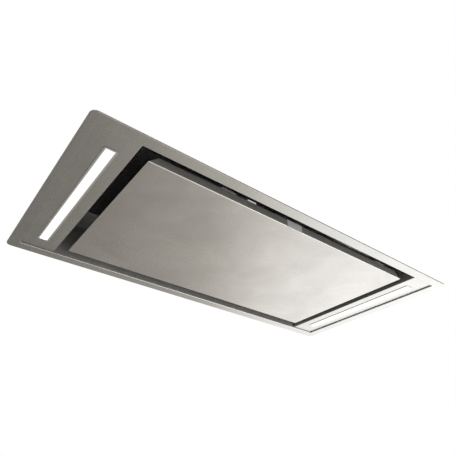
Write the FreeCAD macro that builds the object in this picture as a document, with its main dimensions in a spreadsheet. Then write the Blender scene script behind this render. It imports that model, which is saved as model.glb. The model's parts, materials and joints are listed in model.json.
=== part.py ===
import FreeCAD, Part
import math
import os
import re
import Sketcher
from FreeCAD import Placement, Rotation, Vector

# Ceiling range hood for flush mounting, with suction round the edge of a drop-down panel.
# Millimetres.  X runs along the long side, Y across it, Z up into the ceiling.
# The origin is the middle of the trim frame's lower, visible face.

SIZES = {
    # trim frame
    "frame_length": 1000.0,
    "frame_width": 500.0,
    "frame_corner": 12.0,
    "flange_end": 26.0,
    "flange_side": 25.0,
    "rim_height": 3.0,
    "trim_sheet": 1.2,
    "plenum_height": 92.0,
    "seal_width": 12.0,
    "seal_inset": 4.0,
    # light plates and lamps
    "plate_width": 75.5,
    "plate_step": 3.0,
    "plate_gap": 0.2,
    "plate_flange": 20.0,
    "lens_width": 18.0,
    "lens_length": 360.0,
    "lens_from_end": 37.0,
    "lens_play": 0.15,
    "lens_side_rim": 4.5,
    "lens_end_rim": 3.0,
    "lens_corner": 6.0,
    "lens_proud": 1.0,
    "lens_sheet": 1.5,
    "snap_reach": 1.0,
    "snap_width": 12.0,
    "channel_border": 3.0,
    "channel_height": 14.0,
    "channel_sheet": 1.2,
    "board_width": 12.0,
    "board_sheet": 1.6,
    "board_end": 5.0,
    "diode_count": 24,
    "diode_side": 3.0,
    "diode_height": 0.8,
    # suction panel
    "suction_gap_end": 25.5,
    "suction_gap_side": 29.0,
    "panel_level": 1.5,
    "panel_return": 18.5,
    "panel_bevel": 20.0,
    "panel_sheet": 1.2,
    "liner_border": 26.0,
    "liner_height": 12.0,
    "liner_sheet": 0.8,
    # panel hinges
    "hinge_rise": 10.0,
    "hinge_inset": 12.0,
    "hinge_from_middle": 250.0,
    "hinge_leaf": 2.5,
    "hinge_eye": 8.0,
    "hinge_pin_radius": 3.0,
    "hinge_play": 0.05,
    "hinge_side_gap": 0.4,
    "hinge_head": 2.0,
    "hinge_head_rim": 2.0,
    "hinge_foot": 30.0,
    # panel catches on the near side
    "left_catch": -192.0,
    "right_catch": 295.0,
    "catch_width": 36.0,
    "catch_sheet": 1.5,
    "catch_rise": 4.5,
    "catch_shelf": 10.0,
    "catch_blade": 18.0,
    "catch_play": 1.2,
    "clip_width": 24.0,
    "clip_rim": 2.0,
    "clip_depth": 14.0,
    "bumper_at": -132.5,
    "bumper_width": 21.0,
    "bumper_depth": 5.0,
    "grip_at": -12.5,
    "grip_width": 43.0,
    "grip_sheet": 0.8,
    # grease filters and their latches
    "filter_length": 375.0,
    "filter_width": 320.0,
    "filter_height": 9.0,
    "filter_border": 14.0,
    "filter_front": 30.0,
    "filter_between": 16.0,
    "filter_play": 1.5,
    "filter_lift": 0.3,
    "mesh_sheet": 2.0,
    "mesh_across": 18,
    "mesh_along": 14,
    "mesh_bar": 4.0,
    "filter_tab": 7.0,
    "filter_tab_root": 6.0,
    "filter_tab_width": 24.0,
    "filter_tab_sheet": 1.5,
    "latch_width": 36.0,
    "latch_depth": 12.0,
    "latch_travel": 7.0,
    "latch_play": 0.3,
    "latch_tongue": 6.0,
    "latch_wing": 3.0,
    "latch_grip": 6.0,
    "latch_sheet": 2.0,
    # housing
    "housing_sheet": 1.0,
    "housing_lap": 30.0,
    "top_flange": 16.0,
    "hanger_pitch": 300.0,
    "hanger_width": 40.0,
    "hanger_reach": 22.0,
    "hanger_sheet": 2.5,
    "hanger_drop": 40.0,
    "hanger_hole": 4.5,
    "hanger_screw_drop": 22.0,
    "screw_radius": 2.0,
    "screw_head": 4.0,
    "screw_head_height": 2.2,
    "screw_tip": 1.5,
    "screw_play": 0.1,
    "drill_reach": 6.0,
    # blower
    "wheel_radius": 66.0,
    "wheel_width": 130.0,
    "wheel_disc": 2.0,
    "wheel_ring": 3.0,
    "blade_count": 36,
    "blade_depth": 12.0,
    "blade_sheet": 1.0,
    "blade_sweep": 12.0,
    "hub_radius": 12.0,
    "hub_length": 24.0,
    "shaft_radius": 4.0,
    "shaft_end": 8.0,
    "nut_height": 6.0,
    "bearing_play": 0.05,
    "scroll_gap": 6.0,
    "scroll_growth": 15.0,
    "scroll_sheet": 1.0,
    "scroll_side_gap": 8.0,
    "scroll_floor_gap": 12.0,
    "tongue_angle": 70.0,
    "inlet_lip": 5.0,
    "inlet_inset": 2.0,
    "outlet_neck": 8.8,
    # motor
    "motor_radius": 40.0,
    "motor_length": 76.0,
    "motor_wall": 2.0,
    "motor_from_hub": 4.0,
    "rotor_radius": 24.0,
    "rotor_gap": 0.5,
    "stator_length": 40.0,
    "bearing_radius": 11.0,
    "bearing_width": 7.0,
    "spider_sheet": 2.0,
    "spider_arm": 16.0,
    "spider_ring": 6.0,
    "bush_margin": 3.0,
    "grommet_radius": 7.0,
    "grommet_length": 8.0,
    # outlet collar and non-return flaps
    "duct_radius": 74.5,
    "collar_wall": 2.0,
    "collar_height": 72.0,
    "collar_flange": 20.0,
    "collar_seat": 3.0,
    "flap_level": 12.0,
    "flap_sheet": 1.5,
    "flap_play": 1.0,
    "flap_seat_gap": 0.3,
    "flap_pin_radius": 2.0,
    "flap_barrel": 4.0,
    "flap_side_gap": 0.5,
    # electrics above the deck
    "box_depth": 45.0,
    "box_width": 180.0,
    "box_height": 100.0,
    "box_wall": 2.0,
    "box_lift": 25.0,
    "board_post": 6.0,
    "board_post_radius": 3.0,
    "board_margin": 12.0,
    "terminal_depth": 12.0,
    "terminal_width": 14.0,
    "terminal_height": 44.0,
    "driver_depth": 30.0,
    "driver_width": 130.0,
    "driver_height": 42.0,
    "capacitor_radius": 14.0,
    "capacitor_length": 56.0,
    "capacitor_lift": 80.0,
    "capacitor_gap": 1.0,
    "saddle_wall": 2.0,
    "gland_radius": 10.0,
    "gland_bore": 5.0,
    "gland_reach": 18.0,
    "gland_wall": 2.0,
    "gland_thread_end": 8.0,
    "lock_nut_height": 4.0,
    "lock_nut_rim": 3.0,
}

# Sizes that follow from the ones above.
DERIVED = {
    "tray_length": "frame_length - 2 * flange_end",
    "tray_width": "frame_width - 2 * flange_side",
    "ring_length": "tray_length + 2 * trim_sheet",
    "ring_width": "tray_width + 2 * trim_sheet",
    "opening_length": "tray_length - 2 * plate_width",
    "plate_top": "plate_step + trim_sheet",
    "lens_middle": "tray_length / 2 - lens_from_end",
    "rim_width": "lens_width + 2 * lens_side_rim",
    "rim_length": "lens_length + 2 * lens_end_rim",
    "channel_width": "lens_width + 2 * channel_border",
    "channel_length": "lens_length + 2 * channel_border",
    "channel_top": "plate_top + channel_height",
    "deck_top": "plenum_height + trim_sheet",
    "panel_length": "opening_length - 2 * suction_gap_end",
    "panel_width": "tray_width - 2 * suction_gap_side",
    "panel_top": "panel_level + panel_sheet",
    "return_top": "panel_level + panel_return",
    "liner_top": "panel_top + liner_height",
    "hinge_level": "return_top + hinge_rise",
    "hinge_across": "panel_width / 2 - hinge_inset",
    "catch_face": "panel_width / 2 - panel_sheet",
    "catch_top": "return_top + catch_rise",
    "blade_across": "catch_face - catch_shelf",
    "blade_top": "catch_top + catch_blade",
    "clip_foot": "blade_top - clip_depth",
    "filter_middle": "(filter_length + filter_between) / 2",
    "filter_floor": "plenum_height + filter_lift",
    "filter_top": "filter_floor + filter_height",
    "latch_slot": "latch_depth + latch_travel + 3 * latch_play",
    "housing_length": "ring_length + 2 * housing_sheet",
    "housing_width": "ring_width + 2 * housing_sheet",
    "housing_foot": "plenum_height - housing_lap",
    "arc_radius": "wheel_radius + scroll_gap + scroll_growth / 2",
    "axis_level": "deck_top + scroll_floor_gap + scroll_sheet + arc_radius + 1.5 * scroll_growth",
    "housing_height": "axis_level + arc_radius - scroll_growth / 2 + scroll_sheet + outlet_neck",
    "lid_top": "housing_height + housing_sheet",
    "hanger_level": "housing_height - hanger_drop",
    "hanger_across": "housing_length / 2 + hanger_reach / 2 + hanger_sheet / 2",
    "outlet_near": "arc_radius * cos(tongue_angle * 1deg) - scroll_growth / 2",
    "outlet_far": "arc_radius + 2.5 * scroll_growth",
    "axis_across": "-(outlet_near + outlet_far) / 2",
    "scroll_half": "wheel_width / 2 + scroll_side_gap",
    "side_face": "scroll_half + scroll_sheet",
    "inlet_radius": "wheel_radius - blade_depth - inlet_inset",
    "spider_reach": "inlet_radius + grommet_radius + bush_margin",
    "spider_face": "side_face + grommet_length",
    "motor_start": "hub_length / 2 + motor_from_hub",
    "motor_end": "motor_start + motor_length",
    "collar_bore": "duct_radius - collar_wall",
    "collar_reach": "duct_radius + collar_flange",
    "collar_screw_at": "duct_radius + collar_flange / 2",
    "collar_top": "lid_top + collar_height",
    "flap_height": "lid_top + flap_level",
    "flap_radius": "collar_bore - flap_play",
    "seat_top": "flap_height - flap_sheet / 2 - flap_seat_gap",
    "blower_screw_at": "max(side_face; collar_reach) + 2 * screw_head",
    "box_floor": "deck_top + box_lift",
    "box_face": "ring_length / 2 - box_depth",
    "board_face": "ring_length / 2 - box_wall - board_post",
    "box_middle": "box_floor + box_height / 2",
    "gland_level": "box_floor + box_height + 2 * gland_radius",
    "spider_back": "spider_face + spider_sheet",
    "capacitor_start": "-3 * capacitor_length",
    "capacitor_level": "deck_top + capacitor_lift",
    "capacitor_across": "ring_width / 2 - capacitor_radius - capacitor_gap",
}

doc = FreeCAD.newDocument("CeilingHood")
sheet = doc.addObject("Spreadsheet::Sheet", "Sizes")
nodes = []


def fill_sheet():
    """Write every size into the sheet under its own word."""
    for row, (word, value) in enumerate(SIZES.items(), start=1):
        sheet.set(f"A{row}", word)
        sheet.set(f"B{row}", str(value))
        sheet.setAlias(f"B{row}", word)
    for row, (word, formula) in enumerate(DERIVED.items(), start=len(SIZES) + 2):
        sheet.set(f"A{row}", word)
        sheet.set(f"B{row}", "=" + formula)
        sheet.setAlias(f"B{row}", word)
    doc.recompute()


def words(text):
    """Turn the sheet's words in a formula into references to its cells."""
    known = lambda match: "Sizes." + match[0] if match[0] in SIZES or match[0] in DERIVED else match[0]
    return re.sub(r"[a-z_]+", known, str(text))


def size(word):
    """The value of one cell of the sheet."""
    return float(sheet.get(word))


def keep(part):
    """Hand a finished sub-part over as a node of its own."""
    nodes.append(part)
    return part


def put(part, x="0", y="0", z="0", turn=None):
    """Place a part, with its position bound to the sheet."""
    if turn is not None:
        part.Placement = Placement(Vector(), turn)
    for letter, text in zip("xyz", (x, y, z)):
        part.setExpression(f"Placement.Base.{letter}", words(text))
    return part


SIDES = (("left", -1), ("right", 1))
ALONG_X = Rotation(Vector(0, 1, 0), 90)
ALONG_Y = Rotation(Vector(1, 0, 0), -90)
UPRIGHT = Rotation(Vector(1, 0, 0), 90)


def block(name, x, y, z):
    """A box between a pair of edges along each axis."""
    part = doc.addObject("Part::Box", name)
    for side, (low, high) in (("Length", x), ("Width", y), ("Height", z)):
        part.setExpression(side, words(f"({high}) - ({low})"))
    return put(part, x[0], y[0], z[0])


def centred(name, length, width, z, x="0", y="0"):
    """A box centred on x and y."""
    spans = [(f"({at}) - ({full}) / 2", f"({at}) + ({full}) / 2") for at, full in ((x, length), (y, width))]
    return block(name, spans[0], spans[1], z)


def rod(name, radius, length, x, y, z, along="z"):
    """A cylinder that starts at x, y, z and runs along one axis."""
    part = doc.addObject("Part::Cylinder", name)
    part.setExpression("Radius", words(radius))
    part.setExpression("Height", words(length))
    return put(part, x, y, z, {"x": ALONG_X, "y": ALONG_Y, "z": Rotation()}[along])


def fuse(name, *parts):
    """One solid from several that meet."""
    part = doc.addObject("Part::MultiFuse", name)
    part.Shapes = list(parts)
    part.Refine = True
    return part


def group(name, *parts):
    """Several separate solids under one name."""
    part = doc.addObject("Part::Compound", name)
    part.Links = list(parts)
    return part


def cut(name, base, *tools):
    """The base with the tools taken out of it."""
    part = doc.addObject("Part::Cut", name)
    part.Base = base
    part.Tool = tools[0] if len(tools) == 1 else fuse(name + "_holes", *tools)
    part.Refine = True
    return part


def tube(name, outer, inner, length, x, y, z, along="z"):
    """A round tube or ring."""
    solid = rod(name + "_outside", outer, length, x, y, z, along)
    return cut(name, solid, rod(name + "_bore", inner, length, x, y, z, along))


def mirrored(side, low, high):
    """The same span on the left (side -1) or the right (side 1)."""
    return (low, high) if side > 0 else (f"-({high})", f"-({low})")


def shaped(name, shape, place=Vector()):
    """A sub-part whose shape is worked out from the sheet's values, then set in its place."""
    part = doc.addObject("Part::Feature", name)
    part.Shape = shape
    part.Placement = Placement(place, Rotation())
    return part


# ---------------------------------------------------------------- sketches and bodies

def plane_of(body, role):
    """One of a body's own origin planes."""
    return next(item for item in body.Origin.OriginFeatures if item.Role == role)


def new_sketch(body, name, role="XY_Plane", height="0"):
    """An empty sketch on one of the body's planes, lifted along its normal."""
    sketch = body.newObject("Sketcher::SketchObject", name)
    sketch.AttachmentSupport = [(plane_of(body, role), "")]
    sketch.MapMode = "FlatFace"
    sketch.setExpression("AttachmentOffset.Base.z", words(height))
    return sketch


def draw_rectangle(sketch, length, width, x="0", y="0", key="a"):
    """A rectangle with its sides and its middle bound to the sheet."""
    first = sketch.GeometryCount
    corners = [Vector(0, 0), Vector(10, 0), Vector(10, 10), Vector(0, 10)]
    for start, end in zip(corners, corners[1:] + corners[:1]):
        sketch.addGeometry(Part.LineSegment(start, end), False)
    for step in range(4):
        follower = first + (step + 1) % 4
        sketch.addConstraint(Sketcher.Constraint("Coincident", first + step, 2, follower, 1))
        direction = "Vertical" if step % 2 else "Horizontal"
        sketch.addConstraint(Sketcher.Constraint(direction, first + step))
    bound = (
        ("DistanceX", (first, 1, first, 2), length, "length"),
        ("DistanceY", (first + 1, 1, first + 1, 2), width, "width"),
        ("DistanceX", (-1, 1, first + 1, 2), f"({x}) + ({length}) / 2", "right"),
        ("DistanceY", (-1, 1, first + 1, 2), f"({y}) + ({width}) / 2", "top"),
    )
    for kind, points, text, word in bound:
        number = sketch.addConstraint(Sketcher.Constraint(kind, *points, 10.0))
        sketch.renameConstraint(number, f"{key}_{word}")
        sketch.setExpression(f"Constraints.{key}_{word}", words(text))


def extrude(body, sketch, height, kind="Pad", reverse=False):
    """A pad or a pocket of the sketch."""
    feature = body.newObject("PartDesign::" + kind, f"{sketch.Name}_{kind.lower()}")
    feature.Profile = sketch
    feature.setExpression("Length", words(height))
    feature.Reversed = reverse
    sketch.Visibility = False
    doc.recompute()
    return feature


def draw_rounded(sketch, length, width, radius, x="0", y="0", key="a"):
    """A rectangle with round corners, bound to the sheet."""
    first = sketch.GeometryCount
    across, up, bend = 30.0, 20.0, 4.0
    turns = ((1, -1, -90), (1, 1, 0), (-1, 1, 90), (-1, -1, 180))
    centres = [Vector(right * (across - bend), top * (up - bend)) for right, top, start in turns]
    arcs = []
    for centre, (right, top, start) in zip(centres, turns):
        circle = Part.Circle(centre, Vector(0, 0, 1), bend)
        arcs.append(Part.ArcOfCircle(circle, math.radians(start), math.radians(start + 90)))
    for step in range(4):
        before = arcs[step - 1]
        sketch.addGeometry(Part.LineSegment(before.EndPoint, arcs[step].StartPoint), False)
        sketch.addGeometry(arcs[step], False)
    for step in range(4):
        line = first + 2 * step
        arc = line + 1
        following = first + (2 * step + 2) % 8
        sketch.addConstraint(Sketcher.Constraint("Tangent", line, 2, arc, 1))
        sketch.addConstraint(Sketcher.Constraint("Tangent", arc, 2, following, 1))
        sketch.addConstraint(Sketcher.Constraint("Vertical" if step % 2 else "Horizontal", line))
        if step:
            sketch.addConstraint(Sketcher.Constraint("Equal", first + 1, arc))
    bottom, right, top, left = first, first + 2, first + 4, first + 6
    bound = (
        ("Radius", (first + 1,), radius, "radius"),
        ("DistanceX", (left, 1, right, 1), length, "length"),
        ("DistanceY", (bottom, 1, top, 1), width, "width"),
        ("DistanceX", (-1, 1, right, 1), f"({x}) + ({length}) / 2", "right"),
        ("DistanceY", (-1, 1, top, 1), f"({y}) + ({width}) / 2", "top"),
    )
    for kind, points, text, word in bound:
        number = sketch.addConstraint(Sketcher.Constraint(kind, *points, 5.0))
        sketch.renameConstraint(number, f"{key}_{word}")
        sketch.setExpression(f"Constraints.{key}_{word}", words(text))


# ---------------------------------------------------------------- fasteners

def screw(name, x, y, z, along, inward, depth):
    """A pan-head screw whose head seats at x, y, z and whose shank runs one way along an axis."""
    at = dict(x=x, y=y, z=z)
    seat = at[along]
    at[along] = seat if inward > 0 else f"({seat}) - ({depth})"
    shank = rod(name + "_shank", "screw_radius", depth, at["x"], at["y"], at["z"], along)
    at[along] = f"({seat}) - screw_head_height" if inward > 0 else seat
    head = rod(name + "_head", "screw_head", "screw_head_height", at["x"], at["y"], at["z"], along)
    return fuse(name, shank, head)


def hole(name, x, y, z, along, reach="drill_reach"):
    """A clearance hole for such a screw, drilled well past both faces of the sheets."""
    at = dict(x=x, y=y, z=z)
    at[along] = f"({at[along]}) - ({reach})"
    return rod(name, "screw_radius + screw_play", f"2 * ({reach})", at["x"], at["y"], at["z"], along)


def screw_row(name, *rows):
    """A named group of screws: rows of places, as x, y, z, axis and direction, each with its grip depth."""
    places = [(place, depth) for row, depth in rows for place in row]
    screws = [screw(f"{name}_{number}", *place, depth) for number, (place, depth) in enumerate(places)]
    return keep(group(name, *screws))


def hole_row(name, places, reach="drill_reach"):
    """The clearance holes for a group of screws."""
    return [hole(f"{name}_{number}", *place[:4], reach) for number, place in enumerate(places)]


LAP_LEVEL = "plenum_height - housing_lap / 2"
SIDE_PLACES = [
    (x, f"{side} * housing_width / 2", LAP_LEVEL, "y", -side)
    for side in (-1, 1) for x in ("-0.36 * frame_length", "0", "0.36 * frame_length")
]
END_PLACES = [
    (f"{side} * housing_length / 2", y, LAP_LEVEL, "x", -side)
    for side in (-1, 1) for y in ("-0.3 * frame_width", "0.3 * frame_width")
]
PLATE_PLACES = [
    (f"{end} * (tray_length / 2 - {share} * plate_width)", f"{side} * ring_width / 2",
     "plate_step + 3 * screw_head", "y", -side)
    for end in (-1, 1) for side in (-1, 1) for share in (0.25, 0.75)
]
LID_PLACES = [
    (x, f"{side} * (housing_width - top_flange) / 2", "lid_top", "z", -1)
    for side in (-1, 1) for x in ("-0.4 * frame_length", "0", "0.4 * frame_length")
]
HANGER_PLACES = [
    (f"{end} * (housing_length / 2 + hanger_sheet)", f"{side} * hanger_pitch / 2 + {step} * hanger_width / 4",
     "hanger_level - hanger_screw_drop", "x", -end)
    for end in (-1, 1) for side in (-1, 1) for step in (-1, 1)
]


def make_screws():
    """The screws that hold the cabinet, its lid and its hangers together."""
    screw_row(
        "housing_screws",
        (SIDE_PLACES + END_PLACES, "housing_sheet + trim_sheet + screw_tip"),
        (PLATE_PLACES, "2 * trim_sheet + plate_gap + screw_tip"),
        (HANGER_PLACES, "hanger_sheet + housing_sheet + screw_tip"),
    )
    screw_row(
        "lid_screws",
        (LID_PLACES, "2 * housing_sheet + screw_tip"),
        (BLOWER_PLACES, "housing_sheet + scroll_sheet + screw_tip"),
    )


# ---------------------------------------------------------------- trim frame and lights

def make_trim_frame():
    """The pressed frame: flat flange, turned-up rim and the plenum walls in one piece."""
    body = doc.addObject("PartDesign::Body", "trim_pressing")
    flange = new_sketch(body, "flange_outline")
    draw_rounded(flange, "frame_length", "frame_width", "frame_corner", key="outer")
    draw_rectangle(flange, "tray_length", "tray_width", key="inner")
    extrude(body, flange, "trim_sheet")
    rim = new_sketch(body, "rim_outline", height="trim_sheet")
    draw_rounded(rim, "frame_length", "frame_width", "frame_corner", key="outer")
    draw_rounded(rim, "frame_length - 2 * trim_sheet", "frame_width - 2 * trim_sheet",
                 "frame_corner - trim_sheet", key="inner")
    extrude(body, rim, "rim_height - trim_sheet")
    walls = new_sketch(body, "wall_outline", height="trim_sheet")
    draw_rectangle(walls, "ring_length", "ring_width", key="outer")
    draw_rectangle(walls, "tray_length", "tray_width", key="inner")
    extrude(body, walls, "plenum_height - trim_sheet")
    holes = hole_row("frame_hole", SIDE_PLACES + END_PLACES + PLATE_PLACES)
    keep(cut("trim_frame", body, *holes))


def make_seal():
    """The foam strip that beds the frame against the ceiling."""
    length = "(frame_length - 2 * (trim_sheet + seal_inset))"
    width = "(frame_width - 2 * (trim_sheet + seal_inset))"
    outer = centred("seal_outer", length, width, ("trim_sheet", "rim_height"))
    inner = centred("seal_inner", f"{length} - 2 * seal_width", f"{width} - 2 * seal_width",
                    ("0", "2 * rim_height"))
    keep(cut("ceiling_seal", outer, inner))


def make_light_plate(word, side):
    """One end plate with its lamp slot and its turned-up walls."""
    length = "plate_width - plate_gap"
    width = "tray_width - 2 * plate_gap"
    middle = f"{side} * (opening_length + {length}) / 2"
    body = doc.addObject("PartDesign::Body", f"plate_pressing_{word}")
    base = new_sketch(body, f"plate_outline_{word}", height="plate_step")
    draw_rectangle(base, length, width, x=middle, key="outer")
    draw_rectangle(base, "lens_width", "lens_length", x=f"{side} * lens_middle", key="slot")
    extrude(body, base, "trim_sheet")
    wall = new_sketch(body, f"opening_wall_{word}", height="plate_step")
    wall_at = f"{side} * (opening_length + trim_sheet) / 2"
    draw_rectangle(wall, "trim_sheet", width, x=wall_at, key="wall")
    extrude(body, wall, "plenum_height - plate_step")
    flange = new_sketch(body, f"side_flanges_{word}", height="plate_step")
    for key, edge in (("near", -1), ("far", 1)):
        flange_at = f"{edge} * (tray_width / 2 - plate_gap - trim_sheet / 2)"
        draw_rectangle(flange, length, "trim_sheet", x=middle, y=flange_at, key=key)
    extrude(body, flange, "plate_flange")
    keep(cut(f"light_plate_{word}", body, *hole_row(f"plate_hole_{word}", PLATE_PLACES)))


def make_lamp(word, side):
    """Lens, channel and diode board of one light strip."""
    at = f"{side} * lens_middle"
    lens = doc.addObject("PartDesign::Body", f"lamp_lens_{word}")
    rim = new_sketch(lens, f"lens_rim_{word}", height="plate_step - lens_proud")
    draw_rounded(rim, "rim_width", "rim_length", "lens_corner", x=at, key="rim")
    extrude(lens, rim, "lens_proud")
    nose = new_sketch(lens, f"lens_nose_{word}", height="plate_step")
    draw_rectangle(nose, "lens_width - 2 * lens_play", "lens_length - 2 * lens_play", x=at, key="nose")
    extrude(lens, nose, "trim_sheet + lens_sheet")
    snaps = new_sketch(lens, f"lens_snaps_{word}", height="plate_top + lens_play")
    for number in (-1, 0, 1):
        draw_rectangle(snaps, "lens_width + 2 * snap_reach", "snap_width", x=at,
                       y=f"{number} * lens_length / 3", key=f"snap{number + 1}")
    extrude(lens, snaps, "lens_sheet - lens_play")
    keep(lens)

    outer = centred(f"channel_outer_{word}", "channel_width + 2 * channel_sheet",
                    "channel_length + 2 * channel_sheet", ("plate_top", "channel_top"), x=at)
    inner = centred(f"channel_inner_{word}", "channel_width", "channel_length",
                    ("plate_top - 1", "channel_top - channel_sheet"), x=at)
    keep(cut(f"lamp_channel_{word}", outer, inner))

    board_top = "channel_top - channel_sheet"
    board_floor = f"{board_top} - board_sheet"
    board = centred(f"board_plate_{word}", "board_width", "lens_length - 2 * board_end",
                    (board_floor, board_top), x=at)
    count = int(size("diode_count"))
    diodes = []
    for number in range(count):
        share = (number + 0.5) / count - 0.5
        diodes.append(centred(f"diode_{word}_{number}", "diode_side", "diode_side",
                              (f"{board_floor} - diode_height", board_floor),
                              x=at, y=f"{share} * (lens_length - 2 * board_end)"))
    keep(fuse(f"lamp_board_{word}", board, *diodes))


# ---------------------------------------------------------------- suction panel

def make_panel():
    """The drop-down panel: a flat skin with tall returns on its long sides."""
    skin = centred("panel_skin", "panel_length", "panel_width", ("panel_level", "panel_top"))
    returns = []
    for word, y in (("near", "-panel_width / 2 + panel_sheet"), ("far", "panel_width / 2")):
        part = doc.addObject("Part::Wedge", f"panel_return_{word}")
        edges = (
            ("Xmin", "-panel_length / 2"), ("Xmax", "panel_length / 2"),
            ("X2min", "-panel_length / 2 + panel_bevel"), ("X2max", "panel_length / 2 - panel_bevel"),
            ("Ymin", "0"), ("Ymax", "panel_return"),
            ("Zmin", "0"), ("Zmax", "panel_sheet"), ("Z2min", "0"), ("Z2max", "panel_sheet"),
        )
        for edge, text in edges:
            part.setExpression(edge, words(text))
        returns.append(put(part, "0", y, "panel_level", UPRIGHT))
    keep(fuse("suction_panel", skin, *returns))


def make_liner():
    """The stiffening tray behind the panel's skin."""
    length = "panel_length - 2 * liner_border"
    width = "panel_width - 2 * liner_border"
    outer = centred("liner_outer", length, width, ("panel_top", "liner_top"))
    inner = centred("liner_inner", f"{length} - 2 * liner_sheet", f"{width} - 2 * liner_sheet",
                    ("panel_top - 1", "liner_top - liner_sheet"))
    keep(cut("panel_liner", outer, inner))


HINGE_LEAF = ("hinge_from_middle", "hinge_from_middle + hinge_leaf")
HINGE_ARM = (f"{HINGE_LEAF[1]} + hinge_side_gap", f"{HINGE_LEAF[1]} + hinge_side_gap + hinge_leaf")
HINGE_ACROSS = ("hinge_across - hinge_eye", "hinge_across + hinge_eye")


def on_hinge(name, radius, span):
    """A round piece on the panel's hinge axis."""
    return rod(name, radius, f"({span[1]}) - ({span[0]})", span[0], "hinge_across", "hinge_level", "x")


def fixed_leaf(word, side):
    """The leaf under the deck, with its eye and its foot."""
    span = mirrored(side, *HINGE_LEAF)
    upright = block(f"fixed_leaf_{word}", span, HINGE_ACROSS, ("hinge_level", "plenum_height"))
    eye = on_hinge(f"fixed_eye_{word}", "hinge_eye", span)
    foot = block(f"fixed_foot_{word}", mirrored(side, "hinge_from_middle - hinge_foot", HINGE_LEAF[1]),
                 HINGE_ACROSS, ("plenum_height - hinge_leaf", "plenum_height"))
    through = (f"{span[0]} - hinge_leaf", f"{span[1]} + hinge_leaf")
    bore = on_hinge(f"fixed_bore_{word}", "hinge_pin_radius + hinge_play", through)
    return cut(f"fixed_hinge_{word}", fuse(f"fixed_plate_{word}", upright, eye, foot), bore)


def moving_arm(word, side):
    """The arm that rises from the panel's liner to the pin."""
    span = mirrored(side, *HINGE_ARM)
    edge = "panel_width / 2 - liner_border"
    post = block(f"arm_post_{word}", span, HINGE_ACROSS, ("liner_top", "hinge_level"))
    eye = on_hinge(f"arm_eye_{word}", "hinge_eye", span)
    reach = block(f"arm_reach_{word}", span, (f"{edge} - hinge_foot", HINGE_ACROSS[0]),
                  ("liner_top", "liner_top + 2 * hinge_leaf"))
    foot = block(f"arm_foot_{word}", mirrored(side, HINGE_ARM[0], f"{HINGE_ARM[1]} + hinge_foot / 2"),
                 (f"{edge} - hinge_foot", edge), ("liner_top", "liner_top + hinge_leaf"))
    through = (f"{span[0]} - hinge_leaf", f"{span[1]} + hinge_leaf")
    bore = on_hinge(f"arm_bore_{word}", "hinge_pin_radius", through)
    return cut(f"moving_hinge_{word}", fuse(f"arm_plate_{word}", post, eye, reach, foot), bore)


def hinge_pin(word, side):
    """The pin, with its head inside the fixed leaf."""
    head = (f"{HINGE_LEAF[0]} - hinge_side_gap - hinge_head", f"{HINGE_LEAF[0]} - hinge_side_gap")
    end = f"{HINGE_ARM[1]} + hinge_head"
    shank = on_hinge(f"pin_shank_{word}", "hinge_pin_radius", mirrored(side, head[1], end))
    return fuse(f"hinge_pin_{word}", shank,
                on_hinge(f"pin_head_{word}", "hinge_pin_radius + hinge_head_rim", mirrored(side, *head)))


def pin_clip(word, side):
    """The ring that keeps the pin from sliding out of the arm."""
    start = mirrored(side, HINGE_ARM[1], f"{HINGE_ARM[1]} + hinge_head / 2")[0]
    return tube(f"pin_clip_{word}", "hinge_pin_radius + hinge_head_rim", "hinge_pin_radius", "hinge_head / 2",
                start, "hinge_across", "hinge_level", "x")


def make_hinges():
    """Two knuckle hinges at the far side: fixed leaves, moving arms, pins and clips."""
    makers = (
        ("panel_hinge_brackets", fixed_leaf),
        ("panel_hinge_arms", moving_arm),
        ("hinge_pins", hinge_pin),
        ("hinge_pin_clips", pin_clip),
    )
    for name, maker in makers:
        keep(group(name, *[maker(word, side) for word, side in SIDES]))


def make_striker(word, at):
    """The cranked blade on the panel's near return."""
    span = (f"{at} - catch_width / 2", f"{at} + catch_width / 2")
    strap = centred(f"strap_{word}", "catch_width", "catch_sheet",
                    ("panel_top", "catch_top"), x=at, y="-catch_face + catch_sheet / 2")
    shelf = block(f"shelf_{word}", span, ("-catch_face", "-blade_across + catch_sheet"),
                  ("catch_top - catch_sheet", "catch_top"))
    blade = centred(f"blade_{word}", "clip_width - 2 * clip_rim", "catch_sheet",
                    ("catch_top - catch_sheet", "blade_top"), x=at, y="-blade_across + catch_sheet / 2")
    return fuse(f"striker_{word}", strap, shelf, blade)


def make_clip(word, at):
    """The sprung clip under the deck that grips the striker's blade."""
    span = (f"{at} - clip_width / 2", f"{at} + clip_width / 2")
    middle = "-blade_across + catch_sheet / 2"
    inner = "(catch_sheet / 2 + catch_play)"
    near = (f"{middle} - {inner} - catch_sheet", f"{middle} - {inner}")
    far = (f"{middle} + {inner}", f"{middle} + {inner} + catch_sheet")
    web_floor = "blade_top + 2 * catch_play"
    return fuse(
        f"clip_{word}",
        block(f"clip_near_leaf_{word}", span, near, ("clip_foot", web_floor)),
        block(f"clip_far_leaf_{word}", span, far, ("clip_foot", web_floor)),
        block(f"clip_web_{word}", span, (near[0], far[1]), (web_floor, f"{web_floor} + catch_sheet")),
        block(f"clip_post_{word}", span, far, ("blade_top", "plenum_height")),
        block(f"clip_base_{word}", span, (near[0], far[1]), ("plenum_height - catch_sheet", "plenum_height")),
    )


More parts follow.
